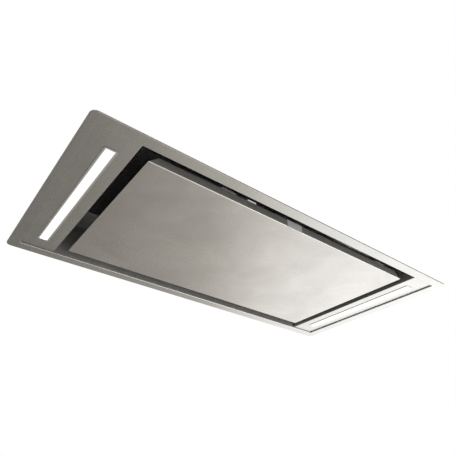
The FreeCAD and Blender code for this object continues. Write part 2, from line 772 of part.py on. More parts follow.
def make_catches():
    """Both catches, the buffer beside the left one and the finger plate in the middle."""
    keep(group("panel_strikers", *[make_striker(word, f"{word}_catch") for word, side in SIDES]))
    keep(group("catch_clips", *[make_clip(word, f"{word}_catch") for word, side in SIDES]))
    head = block("bumper_head", ("bumper_at - bumper_width / 2", "bumper_at + bumper_width / 2"),
                 ("-panel_width / 2", "-panel_width / 2 + bumper_depth"), ("return_top", "catch_top"))
    leg = block("bumper_leg", ("bumper_at - bumper_width / 2", "bumper_at + bumper_width / 2"),
                ("-catch_face", "-panel_width / 2 + bumper_depth"),
                ("return_top - 2 * catch_rise", "return_top"))
    keep(fuse("panel_bumper", head, leg))
    keep(block("panel_grip_plate", ("grip_at - grip_width / 2", "grip_at + grip_width / 2"),
               ("-panel_width / 2 - grip_sheet", "-panel_width / 2"), ("panel_level", "return_top")))


# ---------------------------------------------------------------- filters and deck

def make_deck():
    """The sheet that closes the plenum above, with a window for each filter."""
    plate = centred("deck_plate", "ring_length", "ring_width", ("plenum_height", "deck_top"))
    windows = [
        centred(f"deck_window_{word}", "filter_length + 2 * filter_play", "filter_width + 2 * filter_play",
                ("plenum_height - 1", "deck_top + 1"), x=f"{side} * filter_middle")
        for word, side in SIDES
    ]
    keep(cut("filter_deck", plate, *windows))


def mesh_shape(side):
    """A flat net with square holes that fills the filter's frame."""
    length = size("filter_length") - 2 * size("filter_border")
    width = size("filter_width") - size("filter_border") - size("filter_front")
    middle = side * size("filter_middle")
    start = Vector(middle - length / 2, size("filter_front") - size("filter_width") / 2,
                   size("filter_floor") + size("filter_height") / 3)
    across, along = int(size("mesh_across")), int(size("mesh_along"))
    bar = size("mesh_bar")
    pitch_x, pitch_y = length / across, width / along
    outline = Part.makePlane(length, width, start)
    wires = [outline.OuterWire]
    for column in range(across):
        for row in range(along):
            corner = start + Vector(column * pitch_x + bar / 2, row * pitch_y + bar / 2, 0)
            wires.append(Part.makePlane(pitch_x - bar, pitch_y - bar, corner).OuterWire)
    face = Part.makeFace(wires, "Part::FaceMakerBullseye")
    return face.extrude(Vector(0, 0, size("mesh_sheet")))


def make_filter(word, side):
    """One grease filter: rigid frame with rear tabs and its net."""
    middle = f"{side} * filter_middle"
    front = "-filter_width / 2"
    outer = centred(f"filter_outer_{word}", "filter_length", "filter_width",
                    ("filter_floor", "filter_top"), x=middle)
    reach = "(filter_length / 2 - filter_border)"
    inner = block(f"filter_inner_{word}", (f"{middle} - {reach}", f"{middle} + {reach}"),
                  (f"{front} + filter_front", "filter_width / 2 - filter_border"),
                  ("filter_floor - 1", "filter_top + 1"))
    half = "(latch_width / 2 + latch_play)"
    slot = block(f"latch_slot_{word}", (f"{middle} - {half}", f"{middle} + {half}"),
                 (f"{front} - 1", f"{front} + latch_slot"), ("filter_floor - 1", "filter_top + 1"))
    groove = block(f"latch_groove_{word}",
                   (f"{middle} - {half} - latch_wing", f"{middle} + {half} + latch_wing"),
                   (f"{front} - 1", f"{front} + latch_slot"),
                   ("filter_floor + filter_height / 3", "filter_floor + filter_height * 2 / 3"))
    frame = cut(f"filter_bars_{word}", outer, inner, slot, groove)
    tabs = [
        centred(f"filter_tab_{word}_{number}", "filter_tab_width", "filter_tab + filter_tab_root",
                ("deck_top", "deck_top + filter_tab_sheet"), x=f"{middle} + {number} * filter_length / 4",
                y="(filter_width + filter_tab - filter_tab_root) / 2")
        for number in (-1, 1)
    ]
    keep(fuse(f"filter_frame_{word}", frame, *tabs))
    keep(shaped(f"filter_mesh_{word}", mesh_shape(side)))


def make_latch(word, side):
    """The sliding latch in the filter's front bar, with its tongue over the deck and its thumb grip."""
    middle = f"{side} * filter_middle"
    half = "latch_width / 2"
    front = "-filter_width / 2"
    start = f"{front} + latch_play"
    span = (f"{middle} - {half}", f"{middle} + {half}")
    slab = block(f"latch_slab_{word}", span, (start, f"{start} + latch_depth"),
                 ("filter_floor", "filter_floor + filter_height * 0.8"))
    wings = block(f"latch_wings_{word}", (f"{span[0]} - latch_wing", f"{span[1]} + latch_wing"),
                  (start, f"{start} + latch_depth"),
                  ("filter_floor + filter_height / 3 + latch_play",
                   "filter_floor + filter_height * 2 / 3 - latch_play"))
    tongue = block(f"latch_tongue_{word}", (f"{middle} - {half} * 0.6", f"{middle} + {half} * 0.6"),
                   (f"{front} - latch_tongue", f"{start} + latch_sheet"),
                   ("deck_top + latch_play", "deck_top + latch_play + latch_sheet"))
    grip = block(f"latch_grip_{word}", span, (start, f"{start} + latch_sheet"),
                 ("filter_floor - latch_grip", "filter_floor + latch_sheet"))
    keep(fuse(f"filter_latch_{word}", slab, wings, tongue, grip))


# ---------------------------------------------------------------- housing

def make_housing():
    """The galvanised cabinet over the deck and its lid."""
    outer = centred("cabinet_outer", "housing_length", "housing_width", ("housing_foot", "housing_height"))
    inner = centred("cabinet_inner", "ring_length", "ring_width",
                    ("housing_foot - 1", "housing_height - housing_sheet"))
    mouth = centred("cabinet_mouth", "ring_length - 2 * top_flange", "ring_width - 2 * top_flange",
                    ("housing_height - housing_sheet - 1", "housing_height + 1"))
    holes = hole_row("cabinet_hole", SIDE_PLACES + END_PLACES + LID_PLACES + HANGER_PLACES)
    entry = rod("gland_hole", "gland_radius - gland_wall", "2 * drill_reach",
                "-housing_length / 2 - drill_reach", "0", "gland_level", "x")
    keep(cut("housing_shell", outer, inner, mouth, entry, *holes))

    lid = centred("lid_plate", "housing_length", "housing_width", ("housing_height", "lid_top"))
    duct = rod("lid_duct_hole", "collar_bore", "3 * housing_sheet",
               "0", "0", "housing_height - housing_sheet")
    keep(cut("housing_lid", lid, duct, *hole_row("lid_hole", LID_PLACES + COLLAR_PLACES + BLOWER_PLACES)))


def hanger_bracket(end, side):
    """One bent bracket on the cabinet's end wall, with the hole for a hanging rod."""
    word = f"{'left' if end < 0 else 'right'}_{'near' if side < 0 else 'far'}"
    across = f"{side} * hanger_pitch / 2"
    y = (f"{across} - hanger_width / 2", f"{across} + hanger_width / 2")
    wall = "housing_length / 2"
    leg = block(f"hanger_leg_{word}", mirrored(end, wall, f"{wall} + hanger_sheet"),
                y, ("hanger_level - hanger_width", "hanger_level"))
    arm = block(f"hanger_arm_{word}", mirrored(end, wall, f"{wall} + hanger_reach"),
                y, ("hanger_level - hanger_sheet", "hanger_level"))
    eye = rod(f"hanger_eye_{word}", "hanger_hole", "4 * hanger_sheet",
              f"{end} * hanger_across", across, "hanger_level - 2 * hanger_sheet")
    drills = [
        hole(f"hanger_drill_{word}_{number}", *place[:4])
        for number, place in enumerate(HANGER_PLACES)
        if place[0].startswith(f"{end} ") and place[1].startswith(f"{side} ")
    ]
    return cut(f"hanger_{word}", fuse(f"hanger_bend_{word}", leg, arm), eye, *drills)


def make_hangers():
    """The four hanging brackets."""
    keep(group("hanger_brackets", *[hanger_bracket(end, side) for end in (-1, 1) for side in (-1, 1)]))


# ---------------------------------------------------------------- blower

BLOWER_PLACES = [
    (f"{side} * blower_screw_at", f"axis_across + outlet_near + {share} * (outlet_far - outlet_near)",
     "lid_top", "z", -1)
    for side in (-1, 1) for share in (0.2, 0.8)
]
ON_AXIS = ("axis_across", "axis_level")
STATOR_START = "-(motor_start + motor_end + stator_length) / 2"
ARM_ANGLES = (90, 210, 330)
SPIDER_PLACES = [
    ("-spider_back", f"axis_across + spider_reach * cos({angle}deg)",
     f"axis_level + spider_reach * sin({angle}deg)", "x", 1)
    for angle in ARM_ANGLES
]


def scroll_path(offset):
    """The spiral of four quarter arcs round the wheel, offset outwards, as points and edges."""
    growth = size("scroll_growth")
    first = size("arc_radius")
    across, level = size("axis_across"), size("axis_level")
    near = across - growth / 2
    low = level - growth / 2
    top = size("housing_height")
    tongue_y = near + first * math.cos(math.radians(size("tongue_angle"))) - offset
    centres = [(near, low), (near + growth, low), (near + growth, low + growth)]
    start = math.acos((tongue_y - near) / (first + offset))
    angles = [start, math.pi, 1.5 * math.pi, 2 * math.pi]
    points, edges = [], []
    for number, (middle_y, middle_z) in enumerate(centres):
        radius = first + number * growth + offset
        arc = [
            Vector(0, middle_y + radius * math.cos(angle), middle_z + radius * math.sin(angle))
            for angle in (angles[number], (angles[number] + angles[number + 1]) / 2, angles[number + 1])
        ]
        points += [arc[0], arc[2]]
        edges.append(Part.Arc(*arc).toShape())
    left_top = Vector(0, tongue_y, top)
    right_top = Vector(0, points[-1].y, top)
    edges.insert(0, Part.makeLine(left_top, points[0]))
    edges.append(Part.makeLine(points[-1], right_top))
    return left_top, right_top, edges


def make_scroll():
    """The scroll housing: a rolled band between two side plates with inlet lips."""
    sheet_metal = size("scroll_sheet")
    half = size("scroll_half")
    inner_left, inner_right, inner_edges = scroll_path(0)
    outer_left, outer_right, outer_edges = scroll_path(sheet_metal)
    closing = [Part.makeLine(outer_left, inner_left), Part.makeLine(inner_right, outer_right)]
    band_wire = Part.Wire(Part.__sortEdges__(inner_edges + outer_edges + closing))
    band = Part.Face(band_wire).extrude(Vector(2 * half, 0, 0))
    keep(shaped("scroll_band", band, Vector(-half, 0, 0)))

    side_wire = Part.Wire(Part.__sortEdges__(outer_edges + [Part.makeLine(outer_left, outer_right)]))
    for word, side in (("left", -1), ("right", 1)):
        outline = Part.Face(side_wire).extrude(Vector(sheet_metal, 0, 0))
        start = half if side > 0 else -half - sheet_metal
        plate = shaped(f"scroll_outline_{word}", outline, Vector(start, 0, 0))
        lip_span = mirrored(side, "scroll_half - inlet_lip", "side_face")
        lip = rod(f"inlet_lip_{word}", "inlet_radius + scroll_sheet", "inlet_lip + scroll_sheet",
                  lip_span[0], "axis_across", "axis_level", "x")
        throat = rod(f"inlet_throat_{word}", "inlet_radius", "inlet_lip + scroll_sheet + 4",
                     f"{lip_span[0]} - 2", "axis_across", "axis_level", "x")
        flange = block(f"scroll_flange_{word}",
                       mirrored(side, "scroll_half", "blower_screw_at + 1.5 * screw_head"),
                       ("axis_across + outlet_near", "axis_across + outlet_far"),
                       ("housing_height - scroll_sheet", "housing_height"))
        tools = [throat] + hole_row(f"scroll_hole_{word}", BLOWER_PLACES + COLLAR_PLACES)
        if side < 0:
            tools += hole_row("spider_hole", SPIDER_PLACES, "spider_sheet + grommet_length + drill_reach")
        keep(cut(f"scroll_side_{word}", fuse(f"scroll_sheet_{word}", plate, lip, flange), *tools))


def blade_shape(angle):
    """One forward-curved blade, a slice between two equal arcs."""
    outer = size("wheel_radius")
    inner = outer - size("blade_depth")
    sweep = math.radians(size("blade_sweep"))
    thick = size("blade_sheet") / outer

    def at(radius, turn):
        return Vector(0, radius * math.cos(angle + turn), radius * math.sin(angle + turn))

    middle = (inner + outer) / 2
    front = [at(inner, 0), at(middle, sweep * 0.3), at(outer, sweep)]
    back = [at(inner, thick), at(middle, sweep * 0.3 + thick), at(outer, sweep + thick)]
    wire = Part.Wire([
        Part.Arc(*front).toShape(),
        Part.makeLine(front[2], back[2]),
        Part.Arc(*reversed(back)).toShape(),
        Part.makeLine(back[0], front[0]),
    ])
    return Part.Face(wire).extrude(Vector(size("wheel_width"), 0, 0))


def make_wheel():
    """The double-inlet squirrel-cage wheel on its shaft."""
    width = size("wheel_width")
    outer = size("wheel_radius")
    ring = size("wheel_ring")
    along = Vector(1, 0, 0)
    ring_bore = outer - size("blade_depth") * 0.7
    hub_length = size("hub_length")
    pieces = [
        Part.makeCylinder(outer, size("wheel_disc"), Vector((width - size("wheel_disc")) / 2, 0, 0), along),
        Part.makeCylinder(size("hub_radius"), hub_length, Vector((width - hub_length) / 2, 0, 0), along),
    ]
    for start in (0, width - ring):
        band = Part.makeCylinder(outer, ring, Vector(start, 0, 0), along)
        pieces.append(band.cut(Part.makeCylinder(ring_bore, ring, Vector(start, 0, 0), along)))
    count = int(size("blade_count"))
    blades = [blade_shape(2 * math.pi * number / count) for number in range(count)]
    wheel = pieces[0].fuse(pieces[1:] + blades)
    wheel = wheel.cut(Part.makeCylinder(size("shaft_radius"), width, Vector(), along))
    keep(shaped("blower_wheel", wheel, Vector(-width / 2, size("axis_across"), size("axis_level"))))


def make_shaft():
    """The shaft, the nut that holds the wheel on it, and the motor's rotor."""
    keep(rod("motor_shaft", "shaft_radius", "motor_end - motor_wall + hub_length / 2 + shaft_end",
             "-(motor_end - motor_wall)", *ON_AXIS, "x"))
    nut = doc.addObject("Part::Prism", "nut_hexagon")
    nut.Polygon = 6
    nut.setExpression("Circumradius", words("shaft_radius * 2"))
    nut.setExpression("Height", words("nut_height"))
    put(nut, "hub_length / 2", *ON_AXIS, ALONG_X)
    bore = rod("nut_bore", "shaft_radius", "2 * nut_height", "(hub_length - nut_height) / 2", *ON_AXIS, "x")
    keep(cut("wheel_nut", nut, bore))
    keep(tube("motor_rotor", "rotor_radius", "shaft_radius", "stator_length", STATOR_START, *ON_AXIS, "x"))


def make_motor():
    """The motor's shell, end cap, stator and bearings."""
    inner_bearing = "-(motor_start + motor_wall + bearing_width)"
    shell = rod("motor_outer", "motor_radius", "motor_length", "-motor_end", *ON_AXIS, "x")
    hollow = rod("motor_hollow", "motor_radius - motor_wall", "motor_length - motor_wall",
                 "-motor_end", *ON_AXIS, "x")
    boss = rod("motor_boss", "bearing_radius + motor_wall", "bearing_width + motor_wall",
               inner_bearing, *ON_AXIS, "x")
    seat = rod("bearing_seat", "bearing_radius", "bearing_width", inner_bearing, *ON_AXIS, "x")
    exit_hole = rod("shaft_exit", "shaft_radius + 1", "motor_length", "-motor_end", *ON_AXIS, "x")
    keep(cut("motor_shell", fuse("motor_cup", cut("motor_can", shell, hollow), boss), seat, exit_hole))

    cap = rod("cap_disc", "motor_radius", "motor_wall", "-(motor_end + motor_wall)", *ON_AXIS, "x")
    cap_boss = rod("cap_boss", "bearing_radius + motor_wall", "bearing_width + motor_wall",
                   "-(motor_end + motor_wall)", *ON_AXIS, "x")
    cap_seat = rod("cap_seat", "bearing_radius", "bearing_width + 1", "-motor_end", *ON_AXIS, "x")
    keep(cut("motor_end_cap", fuse("cap_turned", cap, cap_boss), cap_seat))

    keep(tube("motor_stator", "motor_radius - motor_wall", "rotor_radius + rotor_gap", "stator_length",
              STATOR_START, *ON_AXIS, "x"))
    keep(group("motor_bearings", *[
        tube(f"bearing_{word}", "bearing_radius", "shaft_radius + bearing_play", "bearing_width",
             start, *ON_AXIS, "x")
        for word, start in (("inner", inner_bearing), ("outer", "-motor_end"))
    ]))


def spider_arm(angle):
    """One flat arm of the motor's carrier, with its round pad."""
    arm = doc.addObject("Part::Box", f"spider_arm_{angle}")
    for side, text in (("Length", "spider_sheet"), ("Width", "spider_reach"), ("Height", "spider_arm")):
        arm.setExpression(side, words(text))
    put(arm, "-spider_back", f"axis_across + spider_arm / 2 * sin({angle}deg)",
        f"axis_level - spider_arm / 2 * cos({angle}deg)", Rotation(Vector(1, 0, 0), angle))
    pad = rod(f"spider_pad_{angle}", "spider_arm / 2", "spider_sheet", "-spider_back",
              f"axis_across + spider_reach * cos({angle}deg)",
              f"axis_level + spider_reach * sin({angle}deg)", "x")
    return arm, pad


def make_spider():
    """The three-armed carrier that hangs the motor in the left inlet, its rubber bushes and screws."""
    arms = [piece for angle in ARM_ANGLES for piece in spider_arm(angle)]
    ring = rod("spider_ring_disc", "motor_radius + spider_ring", "spider_sheet",
               "-spider_back", *ON_AXIS, "x")
    bore = rod("spider_bore", "motor_radius", "3 * spider_sheet",
               "-spider_back - spider_sheet", *ON_AXIS, "x")
    drills = hole_row("spider_drill", SPIDER_PLACES)
    keep(cut("motor_spider", fuse("spider_plate", ring, *arms), bore, *drills))
    keep(group("motor_bushes", *[
        tube(f"bush_{number}", "grommet_radius", "screw_radius + screw_play", "grommet_length",
             "-spider_face", place[1], place[2], "x")
        for number, place in enumerate(SPIDER_PLACES)
    ]))
    screw_row("spider_screws", (SPIDER_PLACES, "spider_sheet + grommet_length + scroll_sheet + screw_tip"))


# ---------------------------------------------------------------- outlet collar and flaps

COLLAR_PLACES = [
    (f"collar_screw_at * cos({angle}deg)", f"collar_screw_at * sin({angle}deg)",
     "lid_top + collar_wall", "z", -1)
    for angle in (45, 135, 225, 315)
]


def make_collar():
    """The round duct spigot with the seat, the pin and the two flaps that close it."""
    flange = rod("collar_plate", "collar_reach", "collar_wall", "0", "0", "lid_top")
    wall = rod("collar_wall_outside", "duct_radius", "collar_height", "0", "0", "lid_top")
    bore = rod("collar_inside", "collar_bore", "collar_height + 2", "0", "0", "lid_top - 1")
    turned = cut("collar_turned", fuse("collar_solid", flange, wall), bore)
    seat = tube("flap_seat", "collar_bore", "collar_bore - collar_seat", "collar_wall",
                "0", "0", "seat_top - collar_wall")
    pin_hole = rod("pin_hole", "flap_pin_radius", "3 * duct_radius",
                   "-1.5 * duct_radius", "0", "flap_height", "x")
    drills = hole_row("collar_hole", COLLAR_PLACES)
    keep(cut("outlet_collar", fuse("collar_body", turned, seat), pin_hole, *drills))
    screw_row("collar_screws", (COLLAR_PLACES, "collar_wall + housing_sheet + screw_tip"))
    keep(rod("flap_pin", "flap_pin_radius", "2 * duct_radius", "-duct_radius", "0", "flap_height", "x"))
    for word, side, quarters in (("near", -1, (0, 2)), ("far", 1, (1, 3))):
        make_flap(word, side, quarters)


def make_flap(word, side, quarters):
    """A half-round flap with two barrels on the common pin."""
    disc = rod(f"flap_disc_{word}", "flap_radius", "flap_sheet", "0", "0", "flap_height - flap_sheet / 2")
    clear = "flap_barrel + flap_side_gap"
    away = block(f"flap_away_{word}", ("-flap_radius - 1", "flap_radius + 1"),
                 mirrored(side, "-flap_radius - 1", clear), ("flap_height - 5", "flap_height + 5"))
    half = cut(f"flap_half_{word}", disc, away)
    reach = "0.9 * flap_radius"
    parts = [half]
    for quarter in quarters:
        low = f"(-1 + {quarter} / 2) * {reach} + flap_side_gap / 2"
        high = f"(-0.5 + {quarter} / 2) * {reach} - flap_side_gap / 2"
        parts.append(rod(f"flap_barrel_{word}_{quarter}", "flap_barrel", f"({high}) - ({low})",
                         low, "0", "flap_height", "x"))
        parts.append(block(f"flap_web_{word}_{quarter}", (low, high), mirrored(side, "0", f"{clear} + 2"),
                           ("flap_height - flap_sheet / 2", "flap_height + flap_sheet / 2")))
    bore = rod(f"flap_bore_{word}", "flap_pin_radius + bearing_play", "2 * flap_radius",
               "-flap_radius", "0", "flap_height", "x")
    keep(cut(f"damper_flap_{word}", fuse(f"flap_blank_{word}", *parts), bore))


# ---------------------------------------------------------------- electrics

BOX_Y = ("-box_width / 2", "box_width / 2")
BOX_Z = ("box_floor", "box_floor + box_height")
BOARD_FRONT = "-board_face + board_sheet"
FITTED = (
    # name, how far it stands off the board, width, height, and its middle as shares of the box
    ("relay", 14, 18, 14, 0.22, 0.2),
    ("mains_choke", 20, 26, 24, 0.2, -0.14),
    ("receiver_chip", 3, 14, 12, -0.05, 0.18),
)


def make_control_box():
    """The plastic box on the cabinet's left wall, with its posts and its cover."""
    outer = block("box_outer", ("-ring_length / 2", "-box_face"), BOX_Y, BOX_Z)
    inner = block("box_inner", ("-ring_length / 2 + box_wall", "-box_face + 1"),
                  (f"{BOX_Y[0]} + box_wall", f"{BOX_Y[1]} - box_wall"),
                  (f"{BOX_Z[0]} + box_wall", f"{BOX_Z[1]} - box_wall"))
    posts = [
        rod(f"board_post_{number}", "board_post_radius", "board_post", "-ring_length / 2 + box_wall",
            f"{end} * (box_width / 2 - 2 * board_margin)",
            f"box_middle + {side} * (box_height / 2 - 2 * board_margin)", "x")
        for number, (end, side) in enumerate(((-1, -1), (-1, 1), (1, -1), (1, 1)))
    ]
    keep(fuse("control_box", cut("box_tray", outer, inner), *posts))
    keep(block("control_box_cover", ("-box_face", "-box_face + box_wall"), BOX_Y, BOX_Z))


def make_control_board():
    """The control board with its relay, choke and receiver, and the mains terminals beside them."""
    board = block("board_blank", ("-board_face", BOARD_FRONT),
                  (f"{BOX_Y[0]} + board_margin", f"{BOX_Y[1]} - board_margin"),
                  (f"{BOX_Z[0]} + board_margin", f"{BOX_Z[1]} - board_margin"))
    parts = [
        block(word, (BOARD_FRONT, f"{BOARD_FRONT} + {tall}"),
              (f"{share_y} * box_width - {wide} / 2", f"{share_y} * box_width + {wide} / 2"),
              (f"box_middle + {share_z} * box_height - {high} / 2",
               f"box_middle + {share_z} * box_height + {high} / 2"))
        for word, tall, wide, high, share_y, share_z in FITTED
    ]
    keep(fuse("control_board", board, *parts))
    start = f"{BOX_Y[0]} + 4 * board_margin / 3"
    keep(block("terminal_block", (BOARD_FRONT, f"{BOARD_FRONT} + terminal_depth"),
               (start, f"{start} + terminal_width"),
               ("box_middle - terminal_height / 2", "box_middle + terminal_height / 2")))


def make_driver_and_capacitor():
    """The lamp driver on the right wall, and the motor's capacitor in its saddle on the far wall."""
    keep(block("lamp_driver", ("ring_length / 2 - driver_depth", "ring_length / 2"),
               ("-driver_width / 2", "driver_width / 2"), ("box_floor", "box_floor + driver_height")))
    place = ("capacitor_start", "capacitor_across", "capacitor_level", "x")
    keep(rod("motor_capacitor", "capacitor_radius", "capacitor_length", *place))
    reach = "(capacitor_radius + saddle_wall)"
    saddle = block("saddle_block",
                   ("capacitor_start + capacitor_length / 3", "capacitor_start + capacitor_length * 2 / 3"),
                   ("capacitor_across", "ring_width / 2"),
                   (f"capacitor_level - {reach}", f"capacitor_level + {reach}"))
    keep(cut("capacitor_saddle", saddle, rod("saddle_bed", "capacitor_radius", "capacitor_length", *place)))


def make_gland():
    """The mains gland through the cabinet's left wall, and its lock nut inside."""
    wall = "-housing_length / 2"
    outside = f"{wall} - gland_reach"
    length = "(gland_reach + housing_sheet + gland_thread_end)"
    thread = rod("gland_thread", "gland_radius - gland_wall", length, outside, "0", "gland_level", "x")
    flange = rod("gland_collar", "gland_radius + gland_wall / 2", "gland_reach / 2",
                 f"{wall} - gland_reach / 2", "0", "gland_level", "x")
    dome = rod("gland_dome", "gland_radius", "gland_reach", outside, "0", "gland_level", "x")
    bore = rod("gland_passage", "gland_bore", f"{length} + 2 * gland_wall", f"{outside} - gland_wall",
               "0", "gland_level", "x")
    keep(cut("cable_gland", fuse("gland_body", thread, flange, dome), bore))
    nut = doc.addObject("Part::Prism", "gland_hexagon")
    nut.Polygon = 6
    nut.setExpression("Circumradius", words("gland_radius + lock_nut_rim"))
    nut.setExpression("Height", words("lock_nut_height"))
    put(nut, f"{wall} + housing_sheet", "0", "gland_level", ALONG_X)
    keep(cut("gland_lock_nut", nut, rod("lock_nut_bore", "gland_radius - gland_wall", "2 * lock_nut_height",
                                        f"{wall} - housing_sheet", "0", "gland_level", "x")))


# ---------------------------------------------------------------- building and writing

def check(parts):
    """Stop if any feature failed or any sub-part is empty or broken."""
    for item in doc.Objects:
        if "Invalid" in item.State or "Error" in item.State:
            raise RuntimeError(f"{item.Label} failed: {item.State}")
    for part in parts:
        if part.Shape.isNull() or not part.Shape.isValid() or not part.Shape.Solids:
            raise RuntimeError(f"{part.Label} has no sound shape")


def write(parts):
    """Write one STEP file for each sub-part."""
    os.makedirs("parts", exist_ok=True)
    for part in parts:
        part.Shape.exportStep(f"parts/{part.Label}.step")


fill_sheet()
make_trim_frame()
make_seal()
for side_word, side_sign in SIDES:
    make_light_plate(side_word, side_sign)
    make_lamp(side_word, side_sign)
make_panel()
make_liner()
make_hinges()
make_catches()
make_deck()
for side_word, side_sign in SIDES:
    make_filter(side_word, side_sign)
    make_latch(side_word, side_sign)
make_housing()
make_hangers()
make_screws()
make_scroll()
make_wheel()
make_shaft()
make_motor()
make_spider()
make_collar()
make_control_box()
make_control_board()
make_driver_and_capacitor()
make_gland()
doc.recompute()
check(nodes)
write(nodes)
print(f"{len(nodes)} sub-parts written")
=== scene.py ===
import json
import math

import bmesh
import bpy
from bpy.props import FloatProperty, FloatVectorProperty, IntProperty, PointerProperty
from mathutils import Matrix, Vector

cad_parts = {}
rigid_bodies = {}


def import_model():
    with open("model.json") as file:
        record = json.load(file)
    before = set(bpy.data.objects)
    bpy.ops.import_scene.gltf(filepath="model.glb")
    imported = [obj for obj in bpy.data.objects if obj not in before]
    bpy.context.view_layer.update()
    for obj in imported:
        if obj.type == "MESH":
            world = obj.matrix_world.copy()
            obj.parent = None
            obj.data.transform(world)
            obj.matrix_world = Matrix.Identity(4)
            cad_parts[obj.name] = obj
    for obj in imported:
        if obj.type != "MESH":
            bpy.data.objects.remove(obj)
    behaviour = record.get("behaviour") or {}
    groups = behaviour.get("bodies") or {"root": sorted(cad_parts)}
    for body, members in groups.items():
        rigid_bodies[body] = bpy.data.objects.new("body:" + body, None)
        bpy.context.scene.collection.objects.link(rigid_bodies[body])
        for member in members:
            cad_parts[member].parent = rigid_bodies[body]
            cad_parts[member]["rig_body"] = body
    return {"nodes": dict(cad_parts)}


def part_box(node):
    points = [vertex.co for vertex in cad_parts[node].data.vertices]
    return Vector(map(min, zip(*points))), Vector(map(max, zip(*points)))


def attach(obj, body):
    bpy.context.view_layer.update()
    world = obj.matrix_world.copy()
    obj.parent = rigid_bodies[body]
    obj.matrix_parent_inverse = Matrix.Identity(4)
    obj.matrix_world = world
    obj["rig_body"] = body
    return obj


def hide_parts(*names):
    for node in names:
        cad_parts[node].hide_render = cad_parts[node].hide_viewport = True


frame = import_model()

bl_info = {
    "name": "Ceiling Hood",
    "version": (1, 0, 0),
    "blender": (4, 5, 0),
    "location": "View3D > Sidebar > Hood",
    "description": "Dresses a flush ceiling range hood: pressed steel, lamps, filters, cabinet and blower",
    "category": "Add Mesh",
}

UP = Vector((0, 0, 1))
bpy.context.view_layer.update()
SIDES = ("left", "right")

WELD = 1e-6  # corners nearer than this are one
LEVEL_PLAY = 1e-5  # how far a point may lie off a level that it belongs to
FLAT_TURN = math.radians(0.5)  # faces that turn less than this are one flat face
EDGE_TURN = math.radians(40)  # edges that turn more than this are broken
SHEET_CREASE, SOLID_CREASE, SCREW_CREASE = 50, 35, 40  # degrees; sharper edges stay sharp
UPRIGHT_NORMAL = 0.3  # faces whose normal rises less than this count as upright

CROWN_SHARES = (0.04, 0.12, 0.3, 0.6, 0.9)  # a lens window's steps from its edge to its middle
NET_LAYERS = (0.25, 0.75)  # where a filter's two nets lie in its height
BEAD_PLACES = (-0.36, -0.18, 0.0, 0.18, 0.36)  # along a long cabinet wall
BEAD_SHARES = (0.0, 0.15, 0.35, 0.6, 0.8, 0.95)  # a bead's steps from its edge to its middle
BEAD_HALF_LENGTH = 0.075
BEAD_LIFT = 0.012  # above the wall's middle
BEAD_ROOT = 0.0002  # how deep a bead's edge sits in the wall
SMALL_CORNER = 0.0002
HEAD_STEPS = ((0.45, 1.0), (0.25, 0.93), (0.17, 0.84), (0.09, 0.76), (0.04, 0.72))  # a head's (rise, scale)

CEILING_REACH, FLOOR_REACH, REFLECTOR_REACH = 6, 12, 5  # half sizes in metres
CUT_OUT_PLAY = 0.004  # between the cabinet and the ceiling's cut-out
CONTACT_REACH, CONTACT_DEPTH = 0.12, 0.95  # how far and how much a painted contact shadow darkens the ceiling's reflection beside the hood
FLOOR_FADE = (3.0, 9.0)  # distances between which the floor turns white
REFLECTOR_WAY = (1.0, -0.55, 0.0)  # the reflector brightens this way
REFLECTOR_SPAN = (-1.5, 2.5)
REFLECTOR_LEVELS = (  # from its dim end to its bright end: (share of the way, brightness)
    (0.0, 0.27), (0.25, 0.37), (0.375, 0.49), (0.43, 0.61), (0.52, 0.98), (0.58, 1.08), (0.75, 1.32),
    (1.0, 1.6))


# ---------------------------------------------------------------- settings

def length(name, description, default):
    """A size in metres."""
    return FloatProperty(name=name, description=description, default=default, unit="LENGTH")


def power(name, description, default):
    """A lamp's power in watts."""
    return FloatProperty(name=name, description=description, default=default, unit="POWER")


def number(name, description, default, least=0.0):
    """A plain number."""
    return FloatProperty(name=name, description=description, default=default, min=least)


def count(name, description, default, least):
    """A number of facets."""
    return IntProperty(name=name, description=description, default=default, min=least)


def vector(name, description, default, subtype, **unit):
    """A colour, place or direction."""
    return FloatVectorProperty(name=name, description=description, default=default, subtype=subtype, **unit)


class HoodSheetSizes(bpy.types.PropertyGroup):
    """How the sheet metal is bent and how its edges are broken."""

    trim_sheet: length("Trim sheet", "Thickness of the visible steel", 0.0012)
    cabinet_sheet: length("Cabinet sheet", "Thickness of the galvanised cabinet", 0.001)
    bend: length("Rim bend", "Outside radius of the fold round the trim frame's rim", 0.0004)
    opening_bend: length("Opening bend", "Radius of the fold from the flange into the plenum", 0.0017)
    end_bend_share: number("End bend", "How wide that fold is at the ends, as a share of the sides", 0.35)
    inner_bend: length("Inner bend", "Radius of the tight folds on the light plates", 0.0006)
    frame_corner: length("Frame corner", "Radius of the trim frame's outer corners", 0.012)
    tray_corner: length("Tray corner", "Radius of the tray's inner corners", 0.0015)
    plate_corner: length("Plate corner", "Radius of a light plate's corners", 0.001)
    lens_corner: length("Lens corner", "Radius of the corners of a lens's rim", 0.006)
    panel_bend: length("Panel bend", "Outside radius of the folds on the suction panel", 0.002)
    panel_slant: length("Panel slant", "How far the ends of the panel's folded sides lean in", 0.02)
    cabinet_bend: length("Cabinet bend", "Outside radius of the cabinet's folds", 0.003)
    cabinet_flange: length("Cabinet flange", "Width of the ledge that carries the lid", 0.017)
    side_fold: length("Side fold", "Height of a light plate's folds on its short sides", 0.02)
    end_fold: length("End fold", "Height of a light plate's fold beside the frame", 0.006)
    play: length("Play", "Gap between a light plate and the frame", 0.0002)
    lens_width: length("Lens width", "Width of a lamp's slot", 0.018)
    lens_length: length("Lens length", "Length of a lamp's slot", 0.36)
    lens_play: length("Lens play", "Gap round a lens", 0.00015)
    edge: length("Edge", "Width of the broken edges on cut metal", 0.0002)
    corner_steps: count("Corner steps", "Facets in each round corner", 10, 2)
    bend_steps: count("Bend steps", "Facets in each fold", 5, 2)


